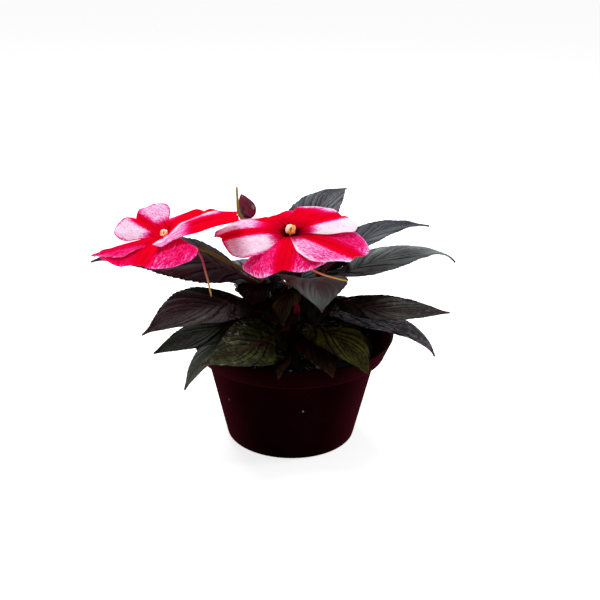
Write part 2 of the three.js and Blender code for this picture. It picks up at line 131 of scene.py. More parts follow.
# %% [markdown]
# ## A small language for materials
# A Blender material is a graph of nodes. Long graphs are hard to read, so two small classes help:
# a Wire wraps one output, and ordinary arithmetic on it adds Math nodes, while a Finish holds one
# material and adds any other node from its type, its settings and its sockets.

# %% The material classes
SOCKETS = {"colour": "Base Color", "roughness": "Roughness", "normal": "Normal",
           "specular": "Specular IOR Level", "subsurface": "Subsurface Weight",
           "subsurface_scale": "Subsurface Scale", "subsurface_radius": "Subsurface Radius",
           "emission": "Emission Color", "emission_strength": "Emission Strength"}


class Wire:
    """One socket's value, on which Python arithmetic adds Math nodes."""

    def __init__(self, finish, socket):
        self.finish = finish
        self.socket = socket

    def math(self, operation, *others):
        values = dict(enumerate((self, *others)))
        return self.finish.node("ShaderNodeMath", {"operation": operation}, values)

    def __add__(self, other):
        return self.math("ADD", other)

    def __sub__(self, other):
        return self.math("SUBTRACT", other)

    def __rsub__(self, other):
        return (self * -1) + other

    def __mul__(self, other):
        return self.math("MULTIPLY", other)

    def __abs__(self):
        return self.math("ABSOLUTE")

    __radd__ = __add__
    __rmul__ = __mul__

    def ramp(self, low, high, out_low=0.0, out_high=1.0):
        """A smooth step from out_low to out_high as the value goes from low to high."""
        values = {"Value": self, "From Min": low, "From Max": high, "To Min": out_low, "To Max": out_high}
        return self.finish.node("ShaderNodeMapRange", {"interpolation_type": "SMOOTHSTEP"}, values)

    def fade(self, low, high):
        """A smooth step down, from one at low to nothing at high."""
        return self.ramp(low, high, 1.0, 0.0)


class Finish:
    """One material: it adds nodes and sets the sockets of its Principled shader."""

    def __init__(self, name):
        self.material = bpy.data.materials.new(name)
        self.material.use_nodes = True
        self.tree = self.material.node_tree
        self.shader = self.tree.nodes["Principled BSDF"]

    def put(self, socket, value):
        if isinstance(value, Wire):
            self.tree.links.new(value.socket, socket)
        elif isinstance(value, tuple) and len(socket.default_value) == 4:
            socket.default_value = (*value, 1)
        else:
            socket.default_value = value

    def node(self, kind, settings, values, output=0):
        made = self.tree.nodes.new(kind)
        for key, value in settings.items():
            if key == "stops":
                self.set_stops(made.color_ramp.elements, value)
            else:
                setattr(made, key, value)
        for key, value in values.items():
            self.put(made.inputs[key], value)
        return Wire(self, made.outputs[output])

    def set_stops(self, elements, stops):
        while len(elements) < len(stops):
            elements.new(0.5)
        for element, (place, colour) in zip(elements, stops):
            element.position = place
            element.color = (*colour, 1)

    def attribute(self, name):
        return self.node("ShaderNodeAttribute", {"attribute_name": name}, {}, "Fac")

    def attributes(self, *names):
        return [self.attribute(name) for name in names]

    def place(self):
        return self.node("ShaderNodeTexCoord", {}, {}, "Object")

    def stretched_place(self, *scale):
        return self.node("ShaderNodeMapping", {}, {"Vector": self.place(), "Scale": scale})

    def vector(self, x, y, z):
        return self.node("ShaderNodeCombineXYZ", {}, {0: x, 1: y, 2: z})

    def noise(self, where, scale, detail=3, rough=0.55):
        values = {"Vector": where, "Scale": scale, "Detail": detail, "Roughness": rough}
        return self.node("ShaderNodeTexNoise", {}, values)

    def cells(self, where, scale, feature="F1"):
        return self.node("ShaderNodeTexVoronoi", {"feature": feature}, {"Vector": where, "Scale": scale})

    def mix(self, share, first, second):
        values = {0: share, 6: first, 7: second}
        return self.node("ShaderNodeMix", {"data_type": "RGBA"}, values, 2)

    def coats(self, colour, *coats):
        """Lays coats over a colour, one after the other, each a share and its own colour."""
        for share, coat in coats:
            colour = self.mix(share, colour, coat)
        return colour

    def colours(self, value, stops):
        return self.node("ShaderNodeValToRGB", {"stops": stops}, {"Fac": value})

    def bump(self, height, distance, strength):
        values = {"Height": height, "Distance": distance, "Strength": strength}
        return self.node("ShaderNodeBump", {}, values)

    def set(self, **values):
        for key, value in values.items():
            self.put(self.shader.inputs[SOCKETS[key]], value)
        return self.material

    def dull(self, share, colour, normal):
        """Over a share of the surface a second, lightless matte shader takes the place of the first."""
        values = {"Base Color": colour, "Normal": normal, "Roughness": 0.9, "Specular IOR Level": 0}
        matte = self.node("ShaderNodeBsdfPrincipled", {}, values)
        glossy = Wire(self, self.shader.outputs[0])
        blend = self.node("ShaderNodeMixShader", {}, {0: share, 1: glossy, 2: matte})
        self.put(self.tree.nodes["Material Output"].inputs["Surface"], blend)
        return self.material


print("material classes ready")

# %% [markdown]
# ## Helpers for modelling
# Almost everything on a plant is either a thin sheet (leaf, petal, sepal) or a round stalk, and
# both can start from the same primitive, a flat grid. Its x runs across and its y runs along. A
# sheet gets its vertices moved to where the living thing has them and a thickness from the
# Solidify modifier. A stalk is the same grid rolled up, with its seam and its two ends merged.

# %% Modelling helpers
MERGE_DISTANCE = 0.00001


def deselect():
    if bpy.context.object and bpy.context.object.mode != "OBJECT":
        bpy.ops.object.mode_set(mode="OBJECT")
    bpy.ops.object.select_all(action="DESELECT")


def choose(piece):
    deselect()
    bpy.context.view_layer.objects.active = piece
    piece.select_set(True)


@contextmanager
def editing(piece):
    """Edit mode with the whole mesh selected, for the operators of one with block."""
    choose(piece)
    bpy.ops.object.mode_set(mode="EDIT")
    bpy.ops.mesh.select_all(action="SELECT")
    yield
    bpy.ops.object.mode_set(mode="OBJECT")


def named(name):
    """Names the piece that the last operator made."""
    piece = bpy.context.object
    piece.name = name
    piece.data.name = name
    return piece


def spots_of(piece):
    """The place of every vertex, one row each."""
    spots = np.empty(len(piece.data.vertices) * 3)
    piece.data.vertices.foreach_get("co", spots)
    return spots.reshape(-1, 3)


def flat_grid(name, columns, rows):
    """A grid primitive: across runs from -1 to 1, along from 0 to 1."""
    deselect()
    bpy.ops.mesh.primitive_grid_add(x_subdivisions=columns, y_subdivisions=rows, size=2)
    piece = named(name)
    spots = spots_of(piece)
    return piece, spots[:, 0].copy(), (spots[:, 1] + 1) / 2


def move_to(piece, points):
    """Moves every vertex of a piece to its point, given in millimetres."""
    piece.data.vertices.foreach_set("co", (np.asarray(points) * MM).ravel())
    piece.data.update()


def note(piece, **numbers):
    """Keeps numbers on every vertex of the piece under their names, for its material to read."""
    for name, values in numbers.items():
        layer = piece.data.attributes.new(name, "FLOAT", "POINT")
        values = np.broadcast_to(values, len(piece.data.vertices))
        layer.data.foreach_set("value", values.astype(np.float32))


def thicken(piece, most, shares):
    """Gives a sheet its thickness, most millimetres times each vertex's share."""
    group = piece.vertex_groups.new(name="thickness")
    for i, share in enumerate(shares):
        group.add([i], float(share), "REPLACE")
    choose(piece)
    wall = piece.modifiers.new("wall", "SOLIDIFY")
    wall.thickness = most * MM
    wall.offset = 0
    wall.vertex_group = "thickness"
    wall.material_offset = 1
    bpy.ops.object.modifier_apply(modifier="wall")
    piece.vertex_groups.clear()


def merge_close(piece):
    with editing(piece):
        bpy.ops.mesh.remove_doubles(threshold=MERGE_DISTANCE)
        bpy.ops.mesh.normals_make_consistent(inside=False)


def soften(piece, degrees):
    choose(piece)
    bpy.ops.object.shade_smooth_by_angle(angle=math.radians(degrees))


def join(pieces, name):
    choose(pieces[0])
    for piece in pieces:
        piece.select_set(True)
    bpy.ops.object.join()
    return named(name)


def paint(piece, *finishes):
    piece.data.materials.clear()
    for finish in finishes:
        piece.data.materials.append(finish)


def seat(piece, slot, *nodes):
    """Hands a finished piece to the frame: it rides on the root, and the nodes it stands for are hidden. The
    slot is not used.
    """
    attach(piece, "root")
    if nodes:
        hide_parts(*nodes)


def smoothstep(low, high, x):
    t = np.clip((x - low) / (high - low), 0, 1)
    return t * t * (3 - 2 * t)


def unit(vector):
    return vector / np.linalg.norm(vector)


print("modelling helpers ready")

# %% [markdown]
# ## Stalks
# The real stalks bend in one smooth sweep through a few places. A centripetal Catmull-Rom curve
# passes through every given point without loops, so it is used for all of them. Along the curve a
# frame is carried from ring to ring with as little turning as possible, and each ring of the
# rolled grid is laid out on it. The radius falls to nothing at both ends, which rounds them off.

# %% Stalk helpers
FIRST_SIDE = (0.3, 1, 0.2)


def curve_through(points, rings):
    """A centripetal Catmull-Rom curve through points, cut into rings equal shares of its spans."""
    given = [np.array(p, float) for p in points]
    given = [2 * given[0] - given[1], *given, 2 * given[-1] - given[-2]]
    spans = len(points) - 1
    made = []
    for share in np.linspace(0, 1, rings + 1):
        k = min(int(share * spans), spans - 1)
        t = share * spans - k
        p = given[k:k + 4]
        gaps = [max(np.linalg.norm(p[i + 1] - p[i]) ** 0.5, 1e-4) for i in range(3)]
        t1 = (p[1] - p[0]) / gaps[0] - (p[2] - p[0]) / (gaps[0] + gaps[1]) + (p[2] - p[1]) / gaps[1]
        t2 = (p[2] - p[1]) / gaps[1] - (p[3] - p[1]) / (gaps[1] + gaps[2]) + (p[3] - p[2]) / gaps[2]
        t1, t2 = t1 * gaps[1], t2 * gaps[1]
        c2 = -3 * p[1] + 3 * p[2] - 2 * t1 - t2
        c3 = 2 * p[1] - 2 * p[2] + t1 + t2
        made.append(p[1] + t1 * t + c2 * t * t + c3 * t ** 3)
    return np.array(made)


def carried_frames(path):
    """Two directions across the path at each of its points, turned as little as possible."""
    ways = np.gradient(path, axis=0)
    ways /= np.linalg.norm(ways, axis=1)[:, None]
    sides = [unit(np.cross(ways[0], FIRST_SIDE))]
    for way in ways[1:]:
        sides.append(unit(sides[-1] - way * np.dot(sides[-1], way)))
    sides = np.array(sides)
    return sides, np.cross(ways, sides)


def stalk(name, path, radius, sides):
    """A round stalk along a path in millimetres. radius(share, angle) is its radius."""
    rings = len(path) - 1
    piece, across, along = flat_grid(name, sides, rings)
    row = np.rint(along * rings).astype(int)
    angle = across * math.pi
    first, second = carried_frames(path)
    ends = np.sqrt(np.clip(1 - np.abs(along * 2 - 1) ** (rings * 0.5), 0, 1))
    size = radius(along, angle) * ends
    size[(row == 0) | (row == rings)] = 0
    ring = first[row] * np.cos(angle)[:, None] + second[row] * np.sin(angle)[:, None]
    move_to(piece, path[row] + ring * size[:, None])
    note(piece, along=along)
    merge_close(piece)
    soften(piece, 60)
    return piece


print("stalk helpers ready")

# %% [markdown]
# ## Blades
# A leaf and a petal are both blades. A midrib sets out on a bearing, rises and then droops. At
# every step along it the blade goes out to both sides, folded up at an angle and arching back
# down. The same few numbers that place a node in the frame place its finer blade here.

# %% Blade helpers
RIB_STEPS = 48


class Blade:
    """The form of a leaf or a petal in millimetres and degrees, the same as its node's."""

    def __init__(self, start, bearing, rise, droop, sweep, length, roll, twist, bend):
        self.bearing, self.rise, self.droop, self.sweep = bearing, rise, droop, sweep
        self.length, self.roll, self.twist, self.bend = length, roll, twist, bend
        middles = (np.arange(RIB_STEPS) + 0.5) / RIB_STEPS
        moves = self.direction(middles) * length / RIB_STEPS
        self.shares = np.linspace(0, 1, RIB_STEPS + 1)
        self.rib = np.vstack([start, start + np.cumsum(moves, axis=0)])

    def heading(self, s):
        """Which way the midrib points at share s, seen from above."""
        return np.radians(self.bearing + self.sweep * s)

    def direction(self, s):
        """The midrib's own direction, level heading and pitch together."""
        pitch = np.radians(self.rise - self.droop * s ** self.bend)
        heading = self.heading(s)
        flat = np.cos(pitch)
        return np.stack([flat * np.cos(heading), flat * np.sin(heading), np.sin(pitch)], axis=-1)

    def spine(self, s):
        """Points on the midrib, which runs on straight before its start."""
        place = np.stack([np.interp(s, self.shares, self.rib[:, k]) for k in range(3)], axis=-1)
        return place + self.direction(0 * s) * (np.minimum(s, 0) * self.length)[:, None] * [1, 1, -1]

    def axes(self, s):
        """The way out to the side and the way up from the blade at each share."""
        s = np.maximum(s, 0)
        heading = self.heading(s)
        level = np.stack([np.sin(heading), -np.cos(heading), 0 * heading], axis=-1)
        upright = np.cross(level, self.direction(s))
        roll = np.radians(self.roll + self.twist * s)[:, None]
        side = level * np.cos(roll) - upright * np.sin(roll)
        above = upright * np.cos(roll) + level * np.sin(roll)
        return side, above

    def points(self, s, v, half, fold, arch):
        """Points of the blade: each half is an arc that starts folded up and arches back down."""
        side, above = self.axes(s)
        a, b, t = np.radians(fold), np.radians(arch), np.abs(v)
        out = (np.sin(a) - np.sin(a - b * t)) / b
        lift = (np.cos(a - b * t) - np.cos(a)) / b
        return self.spine(s) + side * (np.sign(v) * out * half)[:, None] + above * (lift * half)[:, None]


print("blade helpers ready")

# %% [markdown]
# ## The pot
# A nursery pot is one thin shell of blown or pressed plastic: a tapered body, a wider band round
# the mouth and a rolled lip. A turned shell is best made by spinning its outline. The outline is
# a circle primitive with as many corners as it needs, whose corners are moved to their places.

# %% Pot shape
POT_HEIGHT = 57
RIM_RADIUS = 52.5
BAND_HEIGHT = 11
BAND_FOOT_RADIUS = 48
BODY_TOP_RADIUS = 44
BASE_RADIUS = 33.4
WALL = 1.4
FLOOR_LIFT = 0.9
FOOT_RING = 6
INNER_FLOOR = WALL + 0.6
BODY_RINGS = 8
POT_SIDES = 144


def turned(name, outline, steps):
    """Spins an open outline of radius and height in millimetres into a closed piece."""
    deselect()
    bpy.ops.mesh.primitive_circle_add(vertices=len(outline), radius=1)
    piece = named(name)
    move_to(piece, [(radius, 0, height) for radius, height in outline])
    with editing(piece):
        bpy.ops.mesh.spin(steps=steps, angle=2 * math.pi, center=(0, 0, 0), axis=(0, 0, 1))
    merge_close(piece)
    return piece


def rounded(corner, before, after, size, count=4):
    """Points that round off one corner of an outline."""
    corner, before, after = (np.array(p, float) for p in (corner, before, after))
    start = corner + unit(before - corner) * size
    end = corner + unit(after - corner) * size
    shares = [k / count for k in range(count + 1)]
    return [tuple(start * (1 - t) ** 2 + corner * 2 * t * (1 - t) + end * t * t) for t in shares]


band_foot = POT_HEIGHT - BAND_HEIGHT
stand = (BASE_RADIUS - FOOT_RING, 0)
foot = (BASE_RADIUS, 0)
shoulder = (BODY_TOP_RADIUS, band_foot)
ledge = (BAND_FOOT_RADIUS, band_foot + 0.3)
lip = (RIM_RADIUS, POT_HEIGHT)
inner_lip = (RIM_RADIUS - WALL, POT_HEIGHT)
inner_ledge = (BAND_FOOT_RADIUS - WALL, band_foot + 1.7)
body = [(BASE_RADIUS + (BODY_TOP_RADIUS - BASE_RADIUS) * k / BODY_RINGS, band_foot * k / BODY_RINGS)
        for k in range(1, BODY_RINGS)]
pot = turned("pot_shell", [
    (0, FLOOR_LIFT),
    (BASE_RADIUS - FOOT_RING - 1, FLOOR_LIFT),
    stand,
    *rounded(foot, stand, shoulder, 1.3),
    *body,
    *rounded(shoulder, foot, ledge, 0.8),
    *rounded(ledge, shoulder, lip, 0.7),
    *rounded(lip, (BAND_FOOT_RADIUS, band_foot), inner_lip, 0.6),
    *rounded(inner_lip, lip, (BAND_FOOT_RADIUS - WALL, band_foot), 0.6),
    *rounded(inner_ledge, inner_lip, (BODY_TOP_RADIUS - 1, band_foot), 0.8),
    (BODY_TOP_RADIUS - WALL, band_foot + 0.4),
    (BASE_RADIUS - WALL + 0.2, 2.8),
    (BASE_RADIUS - WALL - 1.2, INNER_FLOOR),
    (0, INNER_FLOOR),
], POT_SIDES)
print("pot shell:", len(pot.data.polygons), "faces")

# %% [markdown]
# The drain slots in the pot's floor are cut with a Boolean modifier from six thin bars. They are
# hardly ever seen, but water has to leave somewhere, and a pot without them isn't a nursery pot.

# %% Drain slots
SLOT_COUNT = 6
SLOT_SIZE = (9 * MM, 2.4 * MM, 8 * MM)
SLOT_PLACE = (21 * MM, 0, 1 * MM)
bars = []
for k in range(SLOT_COUNT):
    deselect()
    bpy.ops.mesh.primitive_cube_add(size=1)
    bar = bpy.context.object
    with editing(bar):
        bpy.ops.transform.resize(value=SLOT_SIZE)
        bpy.ops.transform.translate(value=SLOT_PLACE)
        bpy.ops.mesh.bevel(offset=0.8 * MM, segments=3, affect="EDGES")
    bar.data.transform(Matrix.Rotation(2 * math.pi / SLOT_COUNT * k, 4, "Z"))
    bars.append(bar)
bars = join(bars, "drain_bars")
choose(pot)
cut = pot.modifiers.new("slots", "BOOLEAN")
cut.object = bars
cut.solver = "EXACT"
bpy.ops.object.modifier_apply(modifier="slots")
bpy.data.objects.remove(bars)
soften(pot, 35)
print("pot with its slots:", len(pot.data.polygons), "faces")

# %% [markdown]
# The plastic is a very dark maroon-brown, almost black in the shade, with a soft sheen. Pressed
# pots are never clean: there is a faint dusty bloom, fine scratches that run round, and a slight
# unevenness in the gloss. All of it is noise read at the piece's own place. The sheen is painted
# into the colour, maroon on the edges that turn away, and on one side the lip gets a painted
# highlight, a pale band which the place alone decides.

# %% Pot finish
def pot_finish():
    finish = Finish("pot_plastic")
    place = finish.place()
    cloud = finish.noise(place, 35, 4)
    fine = finish.noise(place, 900, 2)
    rings = finish.noise(finish.stretched_place(60, 60, 2600), 1, 2)
    dust = cloud.ramp(0.52, 0.75) * fine.ramp(0.4, 0.7)
    # painted sheen: the colour turns maroon on the edges that face away, in place of a real sheen
    painted_edge_sheen = finish.node("ShaderNodeLayerWeight", {}, {"Blend": 0.5}, "Facing")
    speck = finish.cells(place, 95).ramp(0.055, 0.03) * finish.noise(place, 60, 1).ramp(0.48, 0.52)
    height = finish.node("ShaderNodeSeparateXYZ", {}, {"Vector": place}, "Z")
    side = finish.node("ShaderNodeSeparateXYZ", {}, {"Vector": place}, "X")
    # painted highlight: a pale band along the lip on one side
    lip = height.ramp((POT_HEIGHT - 1.6) * MM, (POT_HEIGHT - 0.6) * MM) * side.ramp(0.040, 0.060)
    colour = finish.coats(
        (0.0030, 0.0002, 0.0005),
        (cloud.ramp(0.3, 0.7), (0.0052, 0.0003, 0.0009)),
        (painted_edge_sheen.ramp(0.32, 1.0) * 0.6, (0.060, 0.007, 0.013)),
        (dust * 0.10, (0.030, 0.012, 0.015)),
        (speck * 0.8, (0.22, 0.20, 0.19)),
        (lip * 0.8, (0.085, 0.075, 0.082)),
    )
    rough = 0.46 + cloud * 0.12 + dust * 0.15
    normal = finish.bump(rings * 0.5 + fine * 0.5, 0.00004, 0.6)
    return finish.set(colour=colour, roughness=rough, specular=0.0, normal=normal)


paint(pot, pot_finish())
seat(pot, "pot", "pot")
print("pot finished")

# %% [markdown]
# ## The soil
# Potting soil is crumbs: black peat, bark and white grains of perlite. The bed is a spun disc
# whose top is pushed up and down by noise, and the loose crumbs and grains are small lumps lying
# on it. There are hundreds of them, so each lump starts from the coarsest ico sphere and is
# knocked out of round.

# %% Soil bed
SOIL_LEVEL = 48
SOIL_GAP = 0.4
SOIL_RADIUS = BODY_TOP_RADIUS - WALL - SOIL_GAP
SOIL_FLOOR = WALL + 0.9
SOIL_DOME = 0.8
SOIL_RINGS = 30
SOIL_SIDES = 110
TOP_MARGIN = 0.5


def soil_height(x, y):
    """Height of the soil's top in millimetres at a place in millimetres."""
    dome = SOIL_LEVEL + SOIL_DOME - 2 * SOIL_DOME * (math.hypot(x, y) / SOIL_RADIUS) ** 2
    rough = noise.noise(Vector((x * 0.35, y * 0.35, 3.1)))
    fine = noise.noise(Vector((x * 1.1, y * 1.1, 8.7))) * 0.5
    return dome + rough + fine


soil = turned("soil_bed", [
    (0, SOIL_FLOOR),
    (BASE_RADIUS - WALL - 1.8, SOIL_FLOOR),
    (BASE_RADIUS - WALL - SOIL_GAP, 3),
    (SOIL_RADIUS, SOIL_LEVEL - 2.2),
    *[(SOIL_RADIUS * (1 - k / SOIL_RINGS), SOIL_LEVEL) for k in range(SOIL_RINGS + 1)],
], SOIL_SIDES)
for vertex in soil.data.vertices:
    if vertex.co.z > (SOIL_LEVEL - TOP_MARGIN) * MM:
        vertex.co.z = soil_height(vertex.co.x / MM, vertex.co.y / MM) * MM
soften(soil, 70)
print("soil bed:", len(soil.data.polygons), "faces")

# %% Crumbs and grains
FIRST_LUMP_SEED = 1000
KNOCKED = (0.72, 1.22)
NARROWED = (0.7, 1)
FLATTENED = (0.55, 0.9)
LUMP_REACH = 1.3
WALL_GAP = 0.4
dice = np.random.default_rng(11)


def lump(place, size, seed):
    """One knocked-about lump on the soil, in millimetres."""
    deselect()
    bpy.ops.mesh.primitive_ico_sphere_add(subdivisions=1, radius=1)
    piece = bpy.context.object
    spots = spots_of(piece)
    own = np.random.default_rng(seed)
    spots *= own.uniform(*KNOCKED, (len(spots), 1))
    spots *= size * np.array([1, own.uniform(*NARROWED), own.uniform(*FLATTENED)])
    turn = own.uniform(0, 6.28)
    x = spots[:, 0] * math.cos(turn) - spots[:, 1] * math.sin(turn)
    y = spots[:, 0] * math.sin(turn) + spots[:, 1] * math.cos(turn)
    move_to(piece, np.stack([x, y, spots[:, 2]], axis=-1) + place)
    return piece


def scatter(name, count, smallest, largest, sink):
    pieces = []
    for k in range(count):
        size = smallest + (largest - smallest) * dice.random() ** 2
        distance = (SOIL_RADIUS - size * LUMP_REACH - WALL_GAP) * math.sqrt(dice.random())
        angle = dice.random() * 2 * math.pi
        x, y = distance * math.cos(angle), distance * math.sin(angle)
        pieces.append(lump((x, y, soil_height(x, y) + size * sink), size, FIRST_LUMP_SEED + k))
    return join(pieces, name)


crumbs = scatter("soil_crumbs", 420, 0.5, 1.9, 0.1)
grains = scatter("perlite_grains", 130, 0.35, 1.3, 0.25)
soften(crumbs, 40)
soften(grains, 40)
print("crumbs:", len(crumbs.data.polygons), "faces; grains:", len(grains.data.polygons), "faces")

# %% [markdown]
# Peat is about as dark and matt as anything gets, so its finish only varies a little between
# black and warm brown. Perlite is a white volcanic glass, chalky and pitted.

# %% Soil finishes
def soil_finish():
    finish = Finish("peat")
    place = finish.place()
    big = finish.noise(place, 260, 4)
    fine = finish.noise(place, 1500, 3)
    colour = finish.coats(
        (0.006, 0.005, 0.004),
        (big.ramp(0.35, 0.7), (0.026, 0.017, 0.011)),
        (fine.ramp(0.66, 0.74) * 0.5, (0.10, 0.08, 0.06)),
    )
    normal = finish.bump(big + fine * 0.5, 0.0006, 0.8)
    return finish.set(colour=colour, roughness=0.95, specular=0.2, normal=normal)


def perlite_finish():
    finish = Finish("perlite")
    pits = finish.cells(finish.place(), 1800)
    # painted shade: each grain is darker grey down in its pits, where the bump dips
    colour = finish.mix(pits.ramp(0.1, 0.6), (0.40, 0.37, 0.33), (0.78, 0.76, 0.72))
    return finish.set(colour=colour, roughness=0.9, normal=finish.bump(pits, 0.0002, 0.8))


peat = soil_finish()
paint(soil, peat)
paint(crumbs, peat)
paint(grains, perlite_finish())
seat(soil, "soil", "soil")
seat(crumbs, "soil")
seat(grains, "soil")
print("soil finished")

# %% [markdown]
# ## The stems
# Busy lizzies have thick, watery stems that swell at every joint where leaves were. Four of them
# come up out of the soil, bowed a little. Each is a stalk whose radius swells at the joints.

# %% Stems
STEM_FOOT_RADIUS = 3.4
STEM_TOP_RADIUS = 2.3
STEM_SIDES = 20
JOINT_SWELL = 0.35
RIDGE_HEIGHT = 0.07
SHARE_RIPE = {"front": 1.0, "right": 0.8}
STEM_RINGS = 48
STEMS = {
    "left": ((-6, -3, 34), (-13, -4, 60), (-14, -5, 86)),
    "right": ((7, 2, 34), (13, 2, 62), (14, 2, 90)),
    "front": ((1, -8, 34), (0, -13, 65), (3, -13, 96)),
    "back": ((0, 9, 34), (1, 16, 62), (0, 17, 90)),
}


def stem_point(name, height):
    """The middle of a stem at a height: a parabola through its foot and its top."""
    foot, middle, top = (np.array(p, float) for p in STEMS[name])
    t = (height - foot[2]) / (top[2] - foot[2])
    middle[2] = (foot[2] + top[2]) / 2  # so that the share t grows evenly with the height
    return foot * (1 - t) ** 2 + middle * 2 * t * (1 - t) + top * t * t


def stem_radius(share, angle):
    taper = STEM_FOOT_RADIUS + (STEM_TOP_RADIUS - STEM_FOOT_RADIUS) * share
    joint = JOINT_SWELL * np.cos(share * math.pi * 6) ** 4
    ridge = RIDGE_HEIGHT * np.cos(5 * angle)
    return taper + joint + ridge


def stem_finish():
    finish = Finish("stem_skin")
    along, ripe = finish.attributes("along", "ripe")
    streak = finish.noise(finish.stretched_place(900, 900, 90), 1, 3)
    red_ring = along.ramp(0.60, 0.63) * along.ramp(0.72, 0.68) * ripe
    colour = finish.coats(
        (0.030, 0.004, 0.003),
        (streak.ramp(0.35, 0.65), (0.016, 0.007, 0.003)),
        (red_ring * streak.ramp(0.30, 0.55), (0.30, 0.003, 0.020)),
    )
    return finish.set(colour=colour, roughness=0.42, specular=0.08, normal=finish.bump(streak, 0.0001, 0.5))


stem_skin = stem_finish()
for name, (foot, _, top) in STEMS.items():
    heights = np.linspace(foot[2], top[2], STEM_RINGS + 1)
    path = np.array([stem_point(name, h) for h in heights])
    piece = stalk("stem_" + name + "_skin", path, stem_radius, STEM_SIDES)
    note(piece, ripe=SHARE_RIPE.get(name, 0))
    paint(piece, stem_skin)
    seat(piece, "stem", "stem_" + name)
print("stems:", len(STEMS))

# %% [markdown]
# ## The leaves
# Every leaf is one blade on a short petiole: lance-shaped, its tip drawn out, its edge cut into
# fine forward-pointing teeth, and its surface quilted where it swells between the side veins.
# Each row below gives the stem it grows from, how high, the way it points, how it rises and
# droops, and its size. These are the numbers of the frame's nodes, so each blade fits its node.

# %% Leaf table
DARK = "leaf_dark"
OLIVE = "leaf_olive"
YOUNG = "leaf_young"
# stem, height on it, bearing, rise, droop, sweep, length, width, roll, fold, taper, slot, kind
LEAVES = {
    "left_1": ("left", 81, 182, 30, 52, 1, 90, 33, -19, 1, 1.42, DARK, "wine"),
    "left_2": ("left", 74, 223, 13, 27, 2, 76, 36, -8, 11, 1.43, DARK, "purple"),
    "left_3": ("left", 70, 216, -8, -1, 0, 65, 23, -7, 9, 1.13, DARK, "greenish"),
    "left_4": ("left", 58, 227, 15, 66, 6, 65, 22, 16, 10, 1.18, DARK, "sage"),
    "left_5": ("front", 64, 244, 4, -3, -13, 75, 27, -33, 16, 1.45, OLIVE, "moss"),
    "right_1": ("back", 84, 55, 62, 68, -3, 63, 31, -5, 15, 1.35, DARK, "bluish"),
    "right_2": ("right", 87, 23, 39, 55, -3, 67, 25, -1, 12, 1.37, DARK, "bluish"),
    "right_3": ("right", 81, 24, 15, 63, -1, 85, 31, -1, 5, 1.63, DARK, "silver"),
    "right_4": ("right", 75, -33, -3, -21, 1, 73, 27, 6, 12, 1.2, DARK, "thyme"),
    "right_5": ("right", 66, -26, 3, 68, 0, 69, 23, -3, 6, 1.2, DARK, "lilac"),
    "front_1": ("front", 86, -53.7, 39, 128, -22.3, 34, 37, -10, 12.9, 1.54, DARK, "grey"),
    "front_2": ("front", 66, -47, 9, 50, -3, 56, 29, -2, 11, 1.23, OLIVE, OLIVE),
    "front_3": ("front", 60, -66, 10, 36, -3, 49, 22, -5, 12, 1.14, OLIVE, "russet"),
    "front_4": ("front", 56, -100, 13, 32, 4, 48, 14, 8, 13, 1.28, OLIVE, "russet"),
    "young_1": ("front", 86, -103, 7, 57, 4, 35, 17, 32, 18, 1.31, YOUNG, "brown"),
    "young_2": ("left", 83.2, 248, 8, 62, 6.8, 18.5, 20, 8.7, 22, 1.03, YOUNG, YOUNG),
    "young_3": ("right", 85, -98, 8, 60, -5, 34, 15, 0, 16, 1.3, YOUNG, YOUNG),
    "young_4": ("back", 88, 248, 3, 34, 0, 28, 15, 12, 12, 1.3, YOUNG, YOUNG),
    "back_1": ("left", 78, 132, 20, 52, -4, 52, 26, -6, 10, 1.35, DARK, "bluish"),
    "back_2": ("back", 80, 108, 22, 48, 4, 66, 30, 4, 12, 1.4, DARK, "bluish"),
    "back_3": ("back", 66, 128, 6, 40, -4, 58, 27, 6, 12, 1.3, OLIVE, "purple"),
    "back_4": ("back", 70, 78, 12, 50, -4, 64, 29, -6, 12, 1.35, DARK, "bluish"),
    "back_5": ("right", 62, 50, 3, 30, 4, 54, 25, 5, 12, 1.3, OLIVE, OLIVE),
    "back_6": ("back", 60, 92, 6, 30, 3, 52, 25, 0, 12, 1.25, OLIVE, "greenish"),
    "back_7": ("left", 62, 165, 5, 30, 0, 54, 25, -5, 12, 1.3, OLIVE, OLIVE),
    "back_8": ("right", 83, 80, 6, 36, -14, 40, 28, 8, 10, 1.1, DARK, "bluish"),
    "back_9": ("back", 74, 150, 12, 34, 0, 46, 24, 0, 12, 1.3, DARK, "bluish"),
    "young_5": ("front", 93, 150, 8, 50, 5, 30, 15, 0, 16, 1.3, YOUNG, YOUNG),
    "young_6": ("right", 85.4, 72, 14.5, 26, -25, 29, 16, 4, 12, 1.0, YOUNG, YOUNG),
    "young_7": ("left", 74, 125, 10, 30, 0, 27, 17, 0, 12, 1.2, DARK, "purple"),
    "inner_1": ("left", 76, 292, 2, 40, 0, 30, 17, 0, 14, 1.3, OLIVE, YOUNG),
    "inner_2": ("right", 77, -94, 2, 36, 0, 32, 18, 0, 14, 1.3, OLIVE, YOUNG),
}
EVEN_BEND = 1.5
LATE_BEND = {"right_3": 3.5, "right_5": 4}
PETIOLE_SHARE = 0.13
PETIOLE_RADIUS = 1.1
print("leaves:", len(LEAVES))

# %% [markdown]
# A leaf's width follows a power curve that swells early and runs out slowly, which gives the
# drawn-out tip. The side veins leave the midrib at a slant, so a row of the grid also slants
# forward as it goes outwards. Between two veins the blade swells; over a vein it dips sharply.
# Teeth are cut by widening the edge in small saw steps. The petiole is the same sheet, only a
# few millimetres wide and nearly as thick as it is wide, so it reads as a round stalk.

